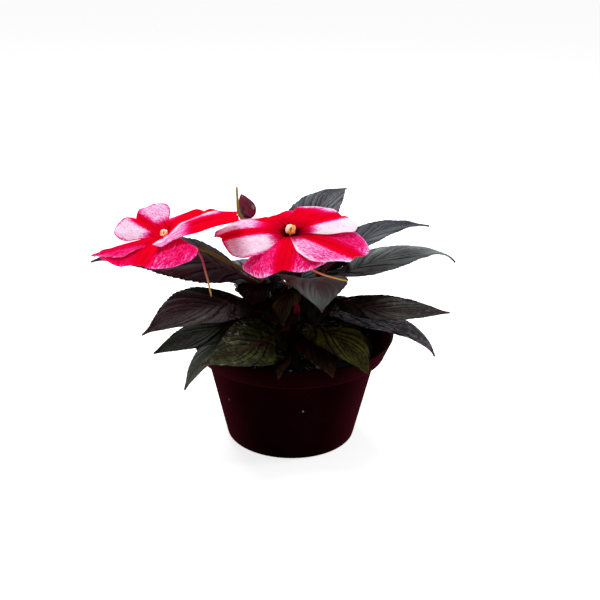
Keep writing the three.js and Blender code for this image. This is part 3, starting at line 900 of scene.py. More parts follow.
# %% Leaf shape
LEAF_COLUMNS = 18
PETIOLE_ROWS = 9
ROWS_PER_TOOTH = 5
TEETH_PER_MM = 0.29
TOOTH_DEPTH = 0.05
TIP_HALF_WIDTH = 0.1
LEAF_SWELL = 0.9
MOST_VEINS = 9
SHORT_LEAVES = (60, 42)
QUILT_HEIGHT = 0.021
WAVE_HEIGHT = 0.006
DENT_HEIGHT = 0.35
RIB_HEIGHT = 1.25
RIB_LOSS = 0.75
RIB_RADIUS = 0.9
SKIN_THICKNESS = 0.42
MOST_THICKNESS = 2.4


def leaf_width(b, taper):
    """Width at share b, as a share of the widest."""
    peak = LEAF_SWELL / (LEAF_SWELL + taper)
    most = peak ** LEAF_SWELL * (1 - peak) ** taper
    b = np.clip(b, 0, 1)
    return b ** LEAF_SWELL * (1 - b) ** taper / most


def leaf_blade(name, stem, height, bearing, rise, droop, sweep, length, width, roll, fold, taper):
    """The blade and petiole of one leaf.

    r runs from 0 to 1 along the blade and v from -1 to 1 across it, with t the distance from the
    midrib. b is r slanted forward as the side veins are, and s the share of the whole midrib.
    """
    blade = Blade(stem_point(stem, height), bearing, rise, droop, sweep, length, roll, 0,
                  LATE_BEND.get(name, EVEN_BEND))
    veins = MOST_VEINS - sum(length < limit for limit in SHORT_LEAVES)
    teeth = round(length * TEETH_PER_MM) + 3
    blade_rows = teeth * ROWS_PER_TOOTH
    piece, across, along = flat_grid("blade_" + name, LEAF_COLUMNS, PETIOLE_ROWS + blade_rows)
    row = (along * (PETIOLE_ROWS + blade_rows) - PETIOLE_ROWS) / blade_rows
    row = np.where(np.abs(row) < 1e-6, 0, row)
    on_petiole = row < 0
    r = np.clip(row, 0, 1)
    v = np.sign(across) * np.abs(across) ** 1.1
    t = np.abs(v)
    b = r + 0.45 * t ** 1.2 * r * (1 - r)

    # the outline: teeth, the width at each place and the narrow petiole
    saw = TOOTH_DEPTH * ((r * teeth) % 1) ** 0.8
    tooth = saw * smoothstep(0.86, 1.0, t) * smoothstep(0.02, 0.12, r) * (1 - smoothstep(0.93, 1, r))
    half = leaf_width(b, taper) * (1 + tooth) * width / 2
    least = PETIOLE_RADIUS + (TIP_HALF_WIDTH - PETIOLE_RADIUS) * smoothstep(0.05, 0.75, r)
    half = np.where(on_petiole, PETIOLE_RADIUS, np.maximum(half, least))
    petiole_s = PETIOLE_SHARE * np.clip(1 + row * blade_rows / PETIOLE_ROWS, 0, 1)
    s = np.where(on_petiole, petiole_s, np.minimum(PETIOLE_SHARE + (1 - PETIOLE_SHARE) * b, 1))
    open_up = np.where(on_petiole, 0, smoothstep(0, 0.08, r))
    points = blade.points(s, v, half, fold * open_up, 1 + 9 * open_up)

    # the relief: quilting between the side veins, a wave along the edge and shallow dents
    slant = 2.2 * t + 1e-4
    start = ((1 + slant) - np.sqrt((1 + slant) ** 2 - 4 * slant * b)) / (2 * slant)
    phase = start * (2 * veins + 3)
    along_swell = np.sin(math.pi * r)
    quilt = QUILT_HEIGHT * width * (np.abs(np.cos(phase * math.pi / 2)) ** 0.5 - 0.6)
    swell = quilt * np.sin(math.pi * np.clip(t, 0, 1)) ** 0.8 * along_swell ** 0.7
    wave = WAVE_HEIGHT * width * np.sin(phase * math.pi + 1.3 * np.sign(v))
    ripple = wave * smoothstep(0.75, 1, t) * along_swell
    dent = np.array([noise.noise(Vector((x * 0.16, y * 0.16, length))) for x, y in points[:, :2]])
    lift = (swell + ripple + dent * DENT_HEIGHT * np.minimum(r * 6, 1)) * open_up
    _, above = blade.axes(s)
    move_to(piece, points + above * lift[:, None])

    # the thickness: a thin skin, a midrib that thins towards the tip and the round petiole
    rib = (RIB_HEIGHT - RIB_LOSS * r) * np.exp(-(t * half / RIB_RADIUS) ** 2)
    stalk_share = 0.5 + 1.56 * PETIOLE_RADIUS * np.sqrt(np.clip(1 - v * v, 0, 1))
    blade_share = SKIN_THICKNESS + rib + (stalk_share - 0.9) * (1 - smoothstep(0, 0.07, r))
    thick = np.where(on_petiole, stalk_share, blade_share)
    lengthways = np.where(on_petiole, petiole_s / PETIOLE_SHARE - 1, r)
    note(piece, along=lengthways, across=v, phase=phase, width=half)
    thicken(piece, MOST_THICKNESS, np.clip(thick / MOST_THICKNESS, 0.1, 1))
    soften(piece, 55)
    return piece


print("leaf shape ready")

# %% [markdown]
# The upper face is blackish green with a satin skin, and a maroon flush along the midrib, the
# side veins and the edge. The underside is duller and redder. Fine blisters between the smallest
# veins are a bump. Light and shade are painted on the upper face too: painted light on the lit
# side of each pleat, painted shade in the creases, the fine wrinkles and towards the base, and
# painted glints along the puckers. No two leaves catch the room's light alike, so there are
# fourteen kinds whose tones have the light and shade of their places painted in, from silvery
# ones that face the light to brown ones in the shade and small dark ones in the crown.

# %% Leaf finishes
# red, green and blue in thousandths of the skin, its second tone, the painted light on the lit
# side of a pleat, the veins and the underside, the upper tones with the light and shade of the
# leaf's place painted in; then how matte the leaf is, how far painted shade darkens its base, how
# wrinkled it is, how dark the painted shade in its creases is and how strongly painted light picks
# out its pleats
LEAF_KINDS = {
    "bluish": ((30, 37, 53), (20, 18, 28), (102, 120, 158), (70, 2, 10), (12, 3, 5), 0, 0.5, 0, 1, 0.95),
    "silver": ((200, 228, 226), (98, 106, 108), (370, 420, 408), (85, 3, 12), (12, 3, 5),
               0, 0.55, 0, 0.85, 0.6),
    "purple": ((17, 13, 16), (14, 5, 7), (40, 40, 48), (45, 2, 7), (12, 3, 5), 0.35, 0.8, 0.25, 0.55, 0.4),
    "wine": ((26, 22, 27), (30, 6, 10), (75, 64, 76), (95, 4, 14), (12, 3, 5), 0.3, 0.4, 0.15, 0.8, 0.7),
    "lilac": ((145, 128, 150), (70, 46, 58), (400, 365, 410), (55, 3, 10), (12, 3, 5),
              0.35, 0.25, 1, 0.9, 0.9),
    "greenish": ((14, 21, 9), (14, 9, 4), (62, 96, 48), (50, 3, 6), (12, 4, 4), 0.65, 0.9, 0.3, 0.9, 0.85),
    "thyme": ((24, 20, 18), (18, 8, 9), (80, 80, 66), (60, 3, 8), (12, 4, 4), 0.45, 0.95, 0.45, 1, 0.9),
    "sage": ((185, 230, 170), (105, 108, 80), (470, 580, 440), (95, 4, 12), (16, 6, 6),
             0.4, 0.75, 0.1, 0.85, 0.8),
    "grey": ((96, 128, 118), (54, 62, 60), (125, 160, 148), (45, 22, 26), (16, 6, 8), 0.1, 0.1, 0, 0.03, 0),
    OLIVE: ((22, 19, 3), (12, 6, 2), (85, 92, 6), (30, 5, 3), (12, 5, 2), 0.7, 0.8, 0.6, 1, 0.95),
    "moss": ((19, 21, 6), (16, 10, 3), (66, 88, 18), (60, 3, 9), (12, 5, 2), 0.5, 0.85, 1, 0.95, 0.9),
    "brown": ((20, 17, 3), (10, 4, 2), (50, 46, 6), (20, 2, 3), (10, 2, 2), 0.8, 0.97, 0, 0.9, 0.8),
    "russet": ((11, 5, 2.5), (8, 3, 2), (36, 19, 4), (20, 2, 3), (10, 2, 2), 0.8, 0.8, 0.2, 0.9, 0.7),
    YOUNG: ((7.5, 4.5, 1.8), (7.5, 1.2, 1.4), (14, 10, 6), (22, 1, 3), (10, 1, 2), 0.85, 0.6, 0, 0.7, 0.5),
}
SHADE = (0.0022, 0.0007, 0.0007)
PAINTED_GLINT = (0.26, 0.27, 0.25)
TIP = (0.050, 0.004, 0.008)


def leaf_tones(kind):
    """The five colours of a kind, scaled to run from 0 to 1."""
    return [tuple(share / 1000 for share in tone) for tone in LEAF_KINDS[kind][:5]]


def leaf_finish(kind):
    skin, flush, lit, vein, _ = leaf_tones(kind)
    matte, dark, pucker, creased, pleated = LEAF_KINDS[kind][5:]
    # the dark of the painted shade in creases, fine threads and wrinkles, and the leaf's own dark edge
    crease_shade_and_dark_edge = tuple(c * 0.10 for c in flush)
    finish = Finish(kind + "_skin")
    place = finish.place()
    along, across, phase, width = finish.attributes("along", "across", "phase", "width")
    across = abs(across)
    waver = finish.noise(place, 70, 1) - 0.5
    wrinkle = finish.noise(place, 330, 2) - 0.5
    phase = phase + waver * 0.8 + wrinkle * 0.35
    cloud = finish.noise(place, 55, 3)
    fine = finish.noise(place, 650, 3)
    thread = finish.noise(finish.vector(phase * 5.5, across * 2.0, along * 1.2), 1, 2, 0.5)
    pleat = (phase * 0.5 + 0.5).math("FRACT")
    nearest = 0.5 - abs(pleat - 0.5)
    crease = nearest.fade(0.0, 0.12) * across.ramp(0.10, 0.9, 1.0, 0.25) * creased
    sunny = pleat.ramp(0.06, 0.26) * pleat.ramp(0.98, 0.34) * across.ramp(0.02, 0.25)
    side_vein = nearest.fade(0.0, 0.05) * across.ramp(0.1, 0.8, 0.22, 0.0)
    midrib = (across * width).fade(0.16, 0.42)
    edge = across.ramp(0.88, 0.99)
    # painted shade: the leaf darkens towards its base, in the shade of the crown
    base = along.ramp(0.0, 0.62, dark, 0.0)
    fold = abs(finish.noise(place, 230, 2) - 0.5)
    wrinkled = fold.fade(0.01, 0.07) * pucker
    # painted glints: thin highlights along the crest of each pucker and in small curls, here and there
    glint_patch = finish.noise(place, 48, 1).ramp(0.52, 0.60) * finish.noise(place, 420, 1).ramp(0.44, 0.54)
    rim = pleat.ramp(0.08, 0.13) * pleat.ramp(0.24, 0.17) * across.ramp(0.12, 0.3)
    glint_swirl = abs(finish.noise(place, 150, 1) - 0.5).fade(0.012, 0.045)
    # painted light and shade: the lit side of each pleat, fold and thread is painted lighter, the creases,
    # threads, wrinkles and base darker
    colour = finish.coats(
        skin,
        (cloud.ramp(0.36, 0.62) * 0.7 + edge * 0.35, flush),
        (sunny * cloud.ramp(0.60, 0.42, 0.2, 1.0) * pleated, lit),
        (thread.ramp(0.52, 0.64) * (0.02 + creased * 0.55), crease_shade_and_dark_edge),
        (fold.ramp(0.08, 0.16) * pucker * 0.5, lit),
        (wrinkled * 0.7, crease_shade_and_dark_edge),
        (thread.ramp(0.46, 0.36) * pleated * 0.35, lit),
        (base, SHADE),
        (crease * 0.92, crease_shade_and_dark_edge),
        (side_vein, vein),
        (midrib * along.ramp(0.45, 1.0, 0.9, 0.3), vein),
        (along.fade(-0.15, 0.06) * 0.9, vein),
        (edge * 0.5, crease_shade_and_dark_edge),
        (along.ramp(0.90, 0.99) * 0.9, TIP),
        ((rim * 0.75 + glint_swirl * 0.4) * glint_patch * pucker, PAINTED_GLINT),
    )
    blister = finish.cells(place, 420, "SMOOTH_F1")
    ruffle = finish.noise(place, 210, 2)
    height = blister * -0.5 + fine * 0.2 + thread * 1.2 + sunny * 1.4
    height = height + crease * -1.4 + ruffle * 1.2 + wrinkled * -0.8
    normal = finish.bump(height, 0.0005, 0.6)
    finish.set(colour=colour, roughness=0.42 + fine * 0.12, specular=0.34, normal=normal)
    # painted shade: in the creases and at the base the matte shader takes the reflection away too
    return finish.dull((crease * 0.9 + base + matte).math("MINIMUM", 1.0), colour, normal)


def underleaf_finish(kind):
    _, flush, _, vein, under = leaf_tones(kind)
    finish = Finish(kind + "_underside")
    place = finish.place()
    across, phase, width = finish.attributes("across", "phase", "width")
    cloud = finish.noise(place, 120, 3)
    net = finish.cells(place, 500, "SMOOTH_F1")
    side_vein = abs((phase * 0.5).math("FRACT") - 0.5).fade(0.0, 0.06)
    colour = finish.coats(
        under,
        (cloud.ramp(0.3, 0.7) * 0.5, flush),
        (side_vein * 0.5, vein),
        ((abs(across) * width).fade(0.4, 1.0) * 0.8, vein),
    )
    normal = finish.bump(side_vein + net * 0.5, 0.0003, 0.6)
    return finish.set(colour=colour, roughness=0.6, specular=0.05, normal=normal)


faces = {kind: (leaf_finish(kind), underleaf_finish(kind)) for kind in LEAF_KINDS}
leaf_faces = 0
for name, (*numbers, slot, kind) in LEAVES.items():
    piece = leaf_blade(name, *numbers)
    paint(piece, *faces[kind])
    seat(piece, slot, "leaf_" + name)
    leaf_faces += len(piece.data.polygons)
print("leaves:", len(LEAVES), "with", leaf_faces, "faces")

# %% [markdown]
# ## The flowers
# A busy lizzie's flower is flat and slanted, with five broad petals that overlap, each with a
# shallow notch. The petals have their own numbers, as the leaves have. What sets this plant apart
# is its pattern: a red star, one arm down the middle of each petal, on lobes that run from hot
# pink to almost white, flecked along fine veins. So each petal also says how pale its left and
# right lobes are and where the paleness begins and ends.

# %% Petal tables
# Petals: bearing, rise, droop, length, width, roll, twist, fold of the left and of the right lobe,
# depth of the notch, reach of the left and of the right lobe, ear beside the throat, rounding of
# the corners. Patterns: for the left, then the right lobe, paleness at the throat end, paleness at
# the outer end and where it begins; then the width of the red stripe, that of the edge (red, or
# pale where it is below nothing) and how pale a strip runs slantwise over the petal. The dark
# sizes say how far the dark of the throat, deep red under painted shade, runs out on each petal,
# throat_depth how far the throat itself is from full painted shade, cap_size how big the anther cap
# is and cap_glow how much painted light it gets.
FLOWERS = {
    "right": {
        "centre": (-1.3, -18, 113.9),
        "dark_size": (1.0, 2.2, 1.1, 1.0, 0.9),
        "throat_depth": 0.02,
        "cap_size": 0.94,
        "cap_glow": 0.0,
        "petals": (
            (188.6, 11, 33, 36.7, 40.8, -16.2, 14.4, -3, 0, 0.10, 0.91, 1.0, 0, 0.09),
            (108.6, 3, 12.4, 35.4, 40, -3.7, -3.1, 10, 11, 0.02, 1.0, 1.0, 0, 0.2),
            (38, 16, 24, 35, 38, 4, 1, 8, 5, 0.07, 0.97, 0.97, 0, 0.16),
            (-31, -3.5, 14, 38.8, 44, 4, -6, 12, 8, 0.11, 1.0, 0.96, 0, 0.23),
            (-96, -4, 22, 37, 42, 4, 6, 0, -4, 0.12, 0.97, 1.0, 0, 0.2),
        ),
        "patterns": (
            ((0.98, 0.90, 0.20), (0.80, 0.86, 0.32), 0.08, 0.08, 0),
            ((0.30, 0.92, 0.42), (0.18, 0.28, 0.60), 0.34, -0.05, 0),
            ((0.16, 0.34, 0.62), (0.98, 0.92, 0.22), 0.14, -0.25, 0),
            ((0.28, 0.36, 0.40), (0.70, 0.52, 0.12), 0.12, -0.13, 0),
            ((0.22, 0.32, 0.30), (0.30, 0.38, 0.26), 0.10, -0.12, 0),
        ),
    },
    "left": {
        "centre": (-59.7, -30, 115.5),
        "dark_size": (0.12,) * 5,
        "throat_depth": 0.30,
        "cap_size": 0.66,
        "cap_glow": 0.9,
        "petals": (
            (196.4, -8.4, 8.7, 35.7, 44, 7.9, 4.5, 4.5, -2, 0.05, 0.93, 0.97, 0, 0.2),
            (130.2, 7.5, 0, 28.7, 30, -21.1, 5.7, 3, 15.3, 0.14, 1.0, 0.98, 0, 0.15),
            (62, 7, 0, 36, 38, -6, -3, 1, 5, 0.05, 1.0, 0.97, 0, 0.2),
            (5.6, 20.8, 13.5, 35.6, 38, -0.7, -11.3, 11.4, 4.2, 0.03, 1.0, 1.04, 1.1, 0.01),
            (-101, 1.5, 21, 36, 46, 6, -6, 9, 5, 0.12, 1.0, 0.97, 0, 0.2),
        ),
        "patterns": (
            ((0.26, 0.34, 0.30), (0.34, 0.42, 0.18), 0.10, -0.08, 0),
            ((0.92, 0.92, 0.22), (0.80, 0.82, 0.28), 0.09, 0.08, 0),
            ((0.15, 0.45, 0.50), (0.10, 0.20, 0.50), 0.40, 0.04, 0),
            ((0.20, 0.20, 0.60), (0.88, 0.42, 0.04), 0.20, 0.04, 0.92),
            ((0.20, 0.36, 0.22), (0.08, 0.18, 0.34), 0.06, -0.06, 0),
        ),
    },
}
print("flowers:", len(FLOWERS))

# %% [markdown]
# The fine petal is built like the leaf, with three kinds of relief on top of the node's form:
# shallow grooves that fan out along the veins, a slight crinkle, and an edge that waves.

# %% Petal shape
PETAL_STEPS = 44
PETAL_BEND = 1.2
PETAL_ARCH = 15
PETAL_THICKNESS = 0.8
PETAL_REACH = 36
NOTCH_WIDTH = 0.42
THROAT_DEPTH = 1.3
THROAT_RADIUS = 3.6
WIDEST = 0.72
CRINKLE_HEIGHT = 0.5
RIB_GROOVE_DEPTH = 0.35
VEIN_HEIGHT = 0.07
SIDE_WAVE_HEIGHT = 0.35
END_WAVE_HEIGHT = 0.3


def petal_width(s):
    """Half width at share s, as a share of the widest."""
    swell = np.sin(math.pi / 2 * np.minimum(s / WIDEST, 1)) ** 1.25
    end = 1 - 0.18 * np.maximum((s - WIDEST) / (1 - WIDEST), 0) ** 2
    return 0.16 + 0.84 * swell * end


def petal_end(v, notch, reach_left, reach_right, corner):
    """How far the petal reaches at v: two lobes with a notch between them."""
    t = np.abs(v)
    lobe = 1 - (1 - np.where(v < 0, reach_left, reach_right)) * np.minimum(t * 3, 1)
    return lobe * (1 - corner * t ** 3 - notch * np.maximum(1 - t / NOTCH_WIDTH, 0) ** 1.6)


def lobe_paleness(row, t, lobe, stripe, edge):
    """How pale one lobe is, from 0 for red to 1 for white."""
    inner, outer, begin = lobe
    level = inner + (outer - inner) * smoothstep(0.25, 0.95, row)
    start = smoothstep(begin - 0.08, begin + 0.20, row + 0.10 * (t - 0.4))
    middle = smoothstep(stripe, stripe + 0.24, t)
    rim = smoothstep(1 - abs(edge) * 1.3, 1.0, np.maximum(t, row * 0.995))
    level = level - 2.4 * edge * rim if edge < 0 else level * (1 - 0.5 * rim)
    return level * start * middle


def petal(name, centre, numbers, pattern, dark_size, order):
    """One petal: row runs along it, v from -1 to 1 across it and t is the distance from its middle."""
    bearing, rise, droop, length, width, roll, twist, fold_left, fold_right = numbers[:9]
    notch, reach_left, reach_right, ear, corner = numbers[9:]
    blade = Blade(np.array(centre, float), bearing, rise, droop, 0, length, roll, twist, PETAL_BEND)
    piece, v, row = flat_grid(name, PETAL_STEPS, PETAL_STEPS)
    t = np.abs(v)
    ear_lift = np.where(v > 0, 2.6 * ear, 0) * np.exp(-(row / 0.4) ** 2) * np.clip(v, 0, 1) ** 1.5
    ear = np.where(v > 0, ear, 0) * np.exp(-(row / 0.27) ** 2)
    s = row + row * row * (petal_end(v, notch, reach_left, reach_right, corner) - 1) - 0.12 * ear * v * v
    fold = np.where(v < 0, fold_left, fold_right)
    half = (petal_width(row) + ear) * width / 2
    points = blade.points(s, v, half, fold, PETAL_ARCH)
    points[:, 2] += CRINKLE_HEIGHT * row * row * v * v * np.sin(7 * row + 9 * v + bearing)
    groove = -RIB_GROOVE_DEPTH * np.exp(-(v / 0.07) ** 2) * smoothstep(0.1, 0.4, row)
    fan = VEIN_HEIGHT * np.sin(v * 46 + 2 * np.sin(row * 5 + bearing)) * smoothstep(0.15, 0.6, row)
    side_wave = SIDE_WAVE_HEIGHT * np.sin(row * 13 + bearing) * smoothstep(0.7, 1, t)
    end_wave = END_WAVE_HEIGHT * np.sin(v * 11 + bearing) * row ** 6
    _, above = blade.axes(s)
    points = points + above * (groove + fan + (side_wave + end_wave))[:, None]
    points[:, 2] += ear_lift
    middle_distance = np.hypot(points[:, 0] - centre[0], points[:, 1] - centre[1])
    points[:, 2] -= THROAT_DEPTH * np.exp(-(middle_distance / THROAT_RADIUS) ** 2)
    move_to(piece, points)
    left, right, stripe, edge, slant = pattern
    left, right = (lobe_paleness(row, t, lobe, stripe, edge) for lobe in (left, right))
    pale = np.where(v < 0, left, right)
    if slant:
        # on a petal with a lobe folded over, the pale strip runs slantwise across both lobes
        past = v - np.maximum(0.85 - 6.8 * row, -1)
        strip = np.exp(-np.abs(past / 0.45) ** 3)
        flank = 0.72 * (past > 0) * (1 - smoothstep(0.24, 0.44, row))
        pale = slant * np.maximum(strip, flank) * (1 - smoothstep(0.68, 0.85, row))
    reach = middle_distance / PETAL_REACH
    note(piece, pale=pale, fan=v * (0.35 + 0.65 * petal_width(row)), reach=reach, deep=reach / dark_size,
         order=order * 3.7)
    thicken(piece, PETAL_THICKNESS, np.clip(0.72 - 0.42 * np.maximum(t, row) ** 4, 0.25, 1))
    return piece


# %% [markdown]
# Where the five petals meet there is a throat: a small dark crimson dish with the way into the
# spur behind it, its own deep red with painted shade over it. The cap of anthers stands in it,
# painted cream where the light falls on it and orange with pollen elsewhere, with a slot down its
# front that painted shade darkens, small teeth round its foot and a painted glow from a faint
# emission of its own colour.

# %% Throat and anther cap
THROAT_OUTLINE = ((0, -1.6), (2.2, -1.5), (3.6, -0.9), (4.4, -0.1),
                  (4.3, 0.35), (3.7, 0.1), (2.2, -0.7), (0, -1.0))
CAP_HEIGHT = 5.2
CAP_DROP = 0.5
TOOTH_BEARINGS = (-158, -112, -62, -20, 60, 120)


def throat(name, centre, depth):
    piece = turned(name, THROAT_OUTLINE, 40)
    piece.data.transform(Matrix.Translation(Vector(centre) * MM))
    note(piece, pale=0, fan=0, reach=0.02, deep=depth, order=0)
    return piece


def ball(name, centre, sizes, turn=None):
    """A small round body: an ico sphere scaled, turned and moved, all in its mesh."""
    deselect()
    bpy.ops.mesh.primitive_ico_sphere_add(subdivisions=3, radius=1)
    piece = named(name)
    shape = Matrix.Diagonal((*[k * MM for k in sizes], 1))
    place = Matrix.Translation(Vector(centre) * MM)
    piece.data.transform(place @ (turn or Matrix.Identity(4)) @ shape)
    return piece


def anther_cap(name, centre, size, glow):
    """A pale hood on a short neck, split in front by a slot that painted shade darkens, with drooping teeth
    below.
    """
    x, y, z = centre
    z -= CAP_DROP
    tilt = Matrix.Rotation(math.radians(10), 4, "Y")
    pieces = [
        ball("cap_hood", (x + 0.1, y + 0.5, z + 3.6), (2.1, 1.4, 1.3), tilt),
        ball("cap_neck", (x, y + 0.5, z + 1.2), (1.0, 1.0, 1.9)),
        ball("cap_left", (x - 1.2, y - 0.2, z + 2.6), (1.25, 1.2, 2.2), tilt),
        ball("cap_right", (x + 1.55, y - 0.1, z + 2.7), (1.1, 1.2, 2.1), tilt),
    ]
    for turn in TOOTH_BEARINGS:
        angle = math.radians(turn)
        way = Vector((math.cos(angle), math.sin(angle), 0))
        lean = Matrix.Rotation(math.radians(-14), 4, Vector((-way.y, way.x, 0)))
        place = (x + 0.2 + 1.7 * way.x, y + 0.2 + 1.3 * way.y, z + 1.6 - 0.25 * way.x)
        pieces.append(ball("cap_tooth", place, (0.6, 0.6, 1.1), lean))
    piece = join(pieces, name)
    spots = spots_of(piece) / MM - np.array(centre)
    move_to(piece, np.array(centre) + spots * size)
    x, y, z = spots.T
    # the slot is painted shade down the cap's front; sunny is its share of painted light, brighter up and to
    # the left
    slot = np.exp(-((x - (0.25 + 0.22 * (z - 2.4))) / 0.46) ** 4) * np.exp(-((z - 2.4) / 1.1) ** 4)
    sunny = np.clip((0.9 - x) / 2.4 + (z - 3) / 3 + glow, 0, 1)
    note(piece, along=z / CAP_HEIGHT, slot=slot * (y < 0.2), sunny=sunny)
    soften(piece, 60)
    return piece


def anther_finish():
    finish = Finish("anther_pollen")
    along, slot, sunny = finish.attributes("along", "slot", "sunny")
    place = finish.place()
    dust = finish.noise(place, 2600, 3)
    blotch = finish.noise(place, 900, 2)
    colour = finish.coats(
        (0.90, 0.24, 0.05),
        (along.ramp(0.10, 0.45), (1.0, 0.48, 0.14)),
        (sunny.ramp(0.20, 0.60), (1.0, 0.84, 0.66)),
        (blotch.ramp(0.52, 0.62) * 0.7, (0.82, 0.28, 0.05)),
        (dust.ramp(0.6, 0.78) * 0.25, (1.0, 0.86, 0.66)),
        # painted shade in the slot
        (slot, (0.075, 0.004, 0.003)),
    )
    # the emission paints a glow on the cap
    return finish.set(colour=colour, roughness=0.75, specular=0.2, subsurface=0.5, subsurface_scale=0.002,
                      subsurface_radius=(1.0, 0.7, 0.4), emission=colour, emission_strength=0.3,
                      normal=finish.bump(dust, 0.00006, 0.5))


print("throat and anther cap ready")

# %% [markdown]
# The petal finish turns paleness into colour. Long noise that runs along the petal is added to
# it first, so the change from red to white breaks up into flecks and streaks, as the pigment
# does in the living petal. Near the throat everything sinks into dark crimson, the petal's own
# deep red with painted shade over it. The surface is velvety, so it is rough, with a little light
# passing through the thin tissue, and a faint emission of the petal's own colour paints a glow
# that evens out its shading.

# %% Petal finish
def petal_finish():
    finish = Finish("petal_velvet")
    pale, fan, reach, deep, order = finish.attributes("pale", "fan", "reach", "deep", "order")

    def streaks(across, along, detail=2, rough=0.5):
        return finish.noise(finish.vector(fan * across, reach * along, order), 1, detail, rough)

    long_streak = streaks(22, 3.2)
    fine_streak = streaks(75, 16, 3, 0.6)
    fleck = streaks(95, 60)
    grain = streaks(44, 26, 2, 0.6)
    vein = streaks(26, 2.5).ramp(0.53, 0.64)
    spread = pale * (1.0 - pale) * 4
    value = pale + (long_streak - 0.5) * (0.10 + spread * 0.35)
    value = value + (fine_streak - 0.5) * (0.10 + spread * 0.55)
    value = value + fleck.ramp(0.60, 0.72) * spread * 0.28 - fleck.ramp(0.40, 0.28) * pale * 0.08
    value = value + (grain - 0.5) * (0.12 + pale * 0.4 + spread * 1.1)
    stops = ((0.00, (0.74, 0.0006, 0.012)), (0.22, (0.77, 0.001, 0.060)), (0.42, (0.80, 0.014, 0.19)),
             (0.62, (0.82, 0.11, 0.40)), (0.80, (0.87, 0.40, 0.69)), (1.00, (0.94, 0.76, 0.90)))
    # painted shade over the throat's own deep red: crimson, then near black towards the middle
    deep = deep - (long_streak - 0.5) * 0.22
    colour = finish.coats(
        finish.colours(value, stops),
        (vein * reach.ramp(0.95, 0.25, 0.12, 0.75) * pale.ramp(0.5, 0.2), (0.40, 0.0004, 0.010)),
        (deep.ramp(0.12, 0.38, 0.75, 0.0), (0.32, 0.0004, 0.010)),
        (deep.fade(0.09, 0.19), (0.040, 0.0006, 0.004)),
    )
    height = fine_streak * 0.6 + long_streak
    # the emission paints a faint glow that evens out the petals' shading
    return finish.set(colour=colour, roughness=0.7, specular=0.0, subsurface=0.35, subsurface_scale=0.002,
                      subsurface_radius=(1.0, 0.6, 0.8), emission=colour, emission_strength=0.09,
                      normal=finish.bump(height, 0.00022, 0.5))


petal_velvet = petal_finish()
anther_pollen = anther_finish()
for side, flower in FLOWERS.items():
    rows = zip(flower["petals"], flower["patterns"], flower["dark_size"])
    pieces = [petal("petal", flower["centre"], *row, k + 1) for k, row in enumerate(rows)]
    pieces.append(throat("throat", flower["centre"], flower["throat_depth"]))
    corolla = join(pieces, "corolla_" + side)
    soften(corolla, 55)
    paint(corolla, petal_velvet)
    seat(corolla, "petal", "flower_" + side + "_petals")
    cap = anther_cap("pollen_cap_" + side, flower["centre"], flower["cap_size"], flower["cap_glow"])
    paint(cap, anther_pollen)
    seat(cap, "anther", "flower_" + side + "_anther_cap")
    print(side, "corolla:", len(corolla.data.polygons), "faces")

# %% [markdown]
# ## Spurs, stalks and sepals
# Behind the petals one sepal is drawn out into a long thin spur that holds nectar, wide at the
# mouth and then no thicker than a bristle. Two small sepals stand beside it, and a slender stalk
# carries the whole flower. Their colours run along them, so they read the same "along" number.

# %% Spur and stalk tables
SPURS = {
    "right": ((-1.3, -18, 112.3), (-1.3, -18.2, 109.6), (2, -24, 105), (8, -30, 100.6), (15, -33, 98.3),
              (26, -36, 96.5)),
    "left": ((-59.7, -30, 113.9), (-59.5, -30, 111.2), (-52, -29.6, 108.4), (-44.2, -30, 107.6),
             (-40, -35, 98.5), (-37.5, -38, 88.5)),
}
STALKS = {
    "right": ((2, -13, 90), (3.5, -13.5, 98), (1.5, -15.5, 105), (-0.5, -17.5, 110)),
    "left": ((-13.5, -5, 83.5), (-18, -6.8, 87), (-25, -9.6, 92.8), (-35, -15, 100), (-42, -20, 105.5),
             (-58, -29.5, 111.5)),
}
SPUR_COLOURS = {
    "right": ((0.62, 0.10, 0.09), (0.62, 0.24, 0.13), (0.60, 0.42, 0.08)),
    "left": ((0.38, 0.030, 0.07), (0.40, 0.065, 0.12), (0.56, 0.38, 0.05)),
}


def run_finish(name, first, middle, last):
    """A finish whose colour runs along the piece through three colours."""
    finish = Finish(name)
    along = finish.attribute("along")
    blotch = finish.noise(finish.place(), 700, 3)
    colour = finish.colours(along + (blotch - 0.5) * 0.12, ((0.1, first), (0.72, middle), (0.96, last)))
    colour = finish.mix(blotch.ramp(0.55, 0.75) * 0.25, colour, tuple(c * 0.45 for c in middle))
    return finish.set(colour=colour, roughness=0.42, specular=0.15, subsurface=0.08, subsurface_scale=0.0008,
                      normal=finish.bump(blotch, 0.00008, 0.5))


def spur_radius(share, angle):
    return 1.9 * (1 - share) ** 3 + 0.55 - 0.13 * share


def stalk_radius(share, angle):
    return np.full(len(share), 0.95)


def sepal(name, root, bearing, rise, length, width):
    """One small side sepal, a pointed sheet that cups up under the petals."""
    blade = Blade(np.array(root, float), bearing, rise, 25, 0, length, 0, 0, 1.4)
    piece, v, row = flat_grid(name, 10, 18)
    half = width / 2 * np.sqrt(np.clip(np.sin(math.pi * (0.08 + 0.9 * row)), 0.02, 1))
    move_to(piece, blade.points(row, v, half, 22, 18))
    note(piece, along=row)
    thicken(piece, 0.5, np.full(len(row), 0.9))
    return piece


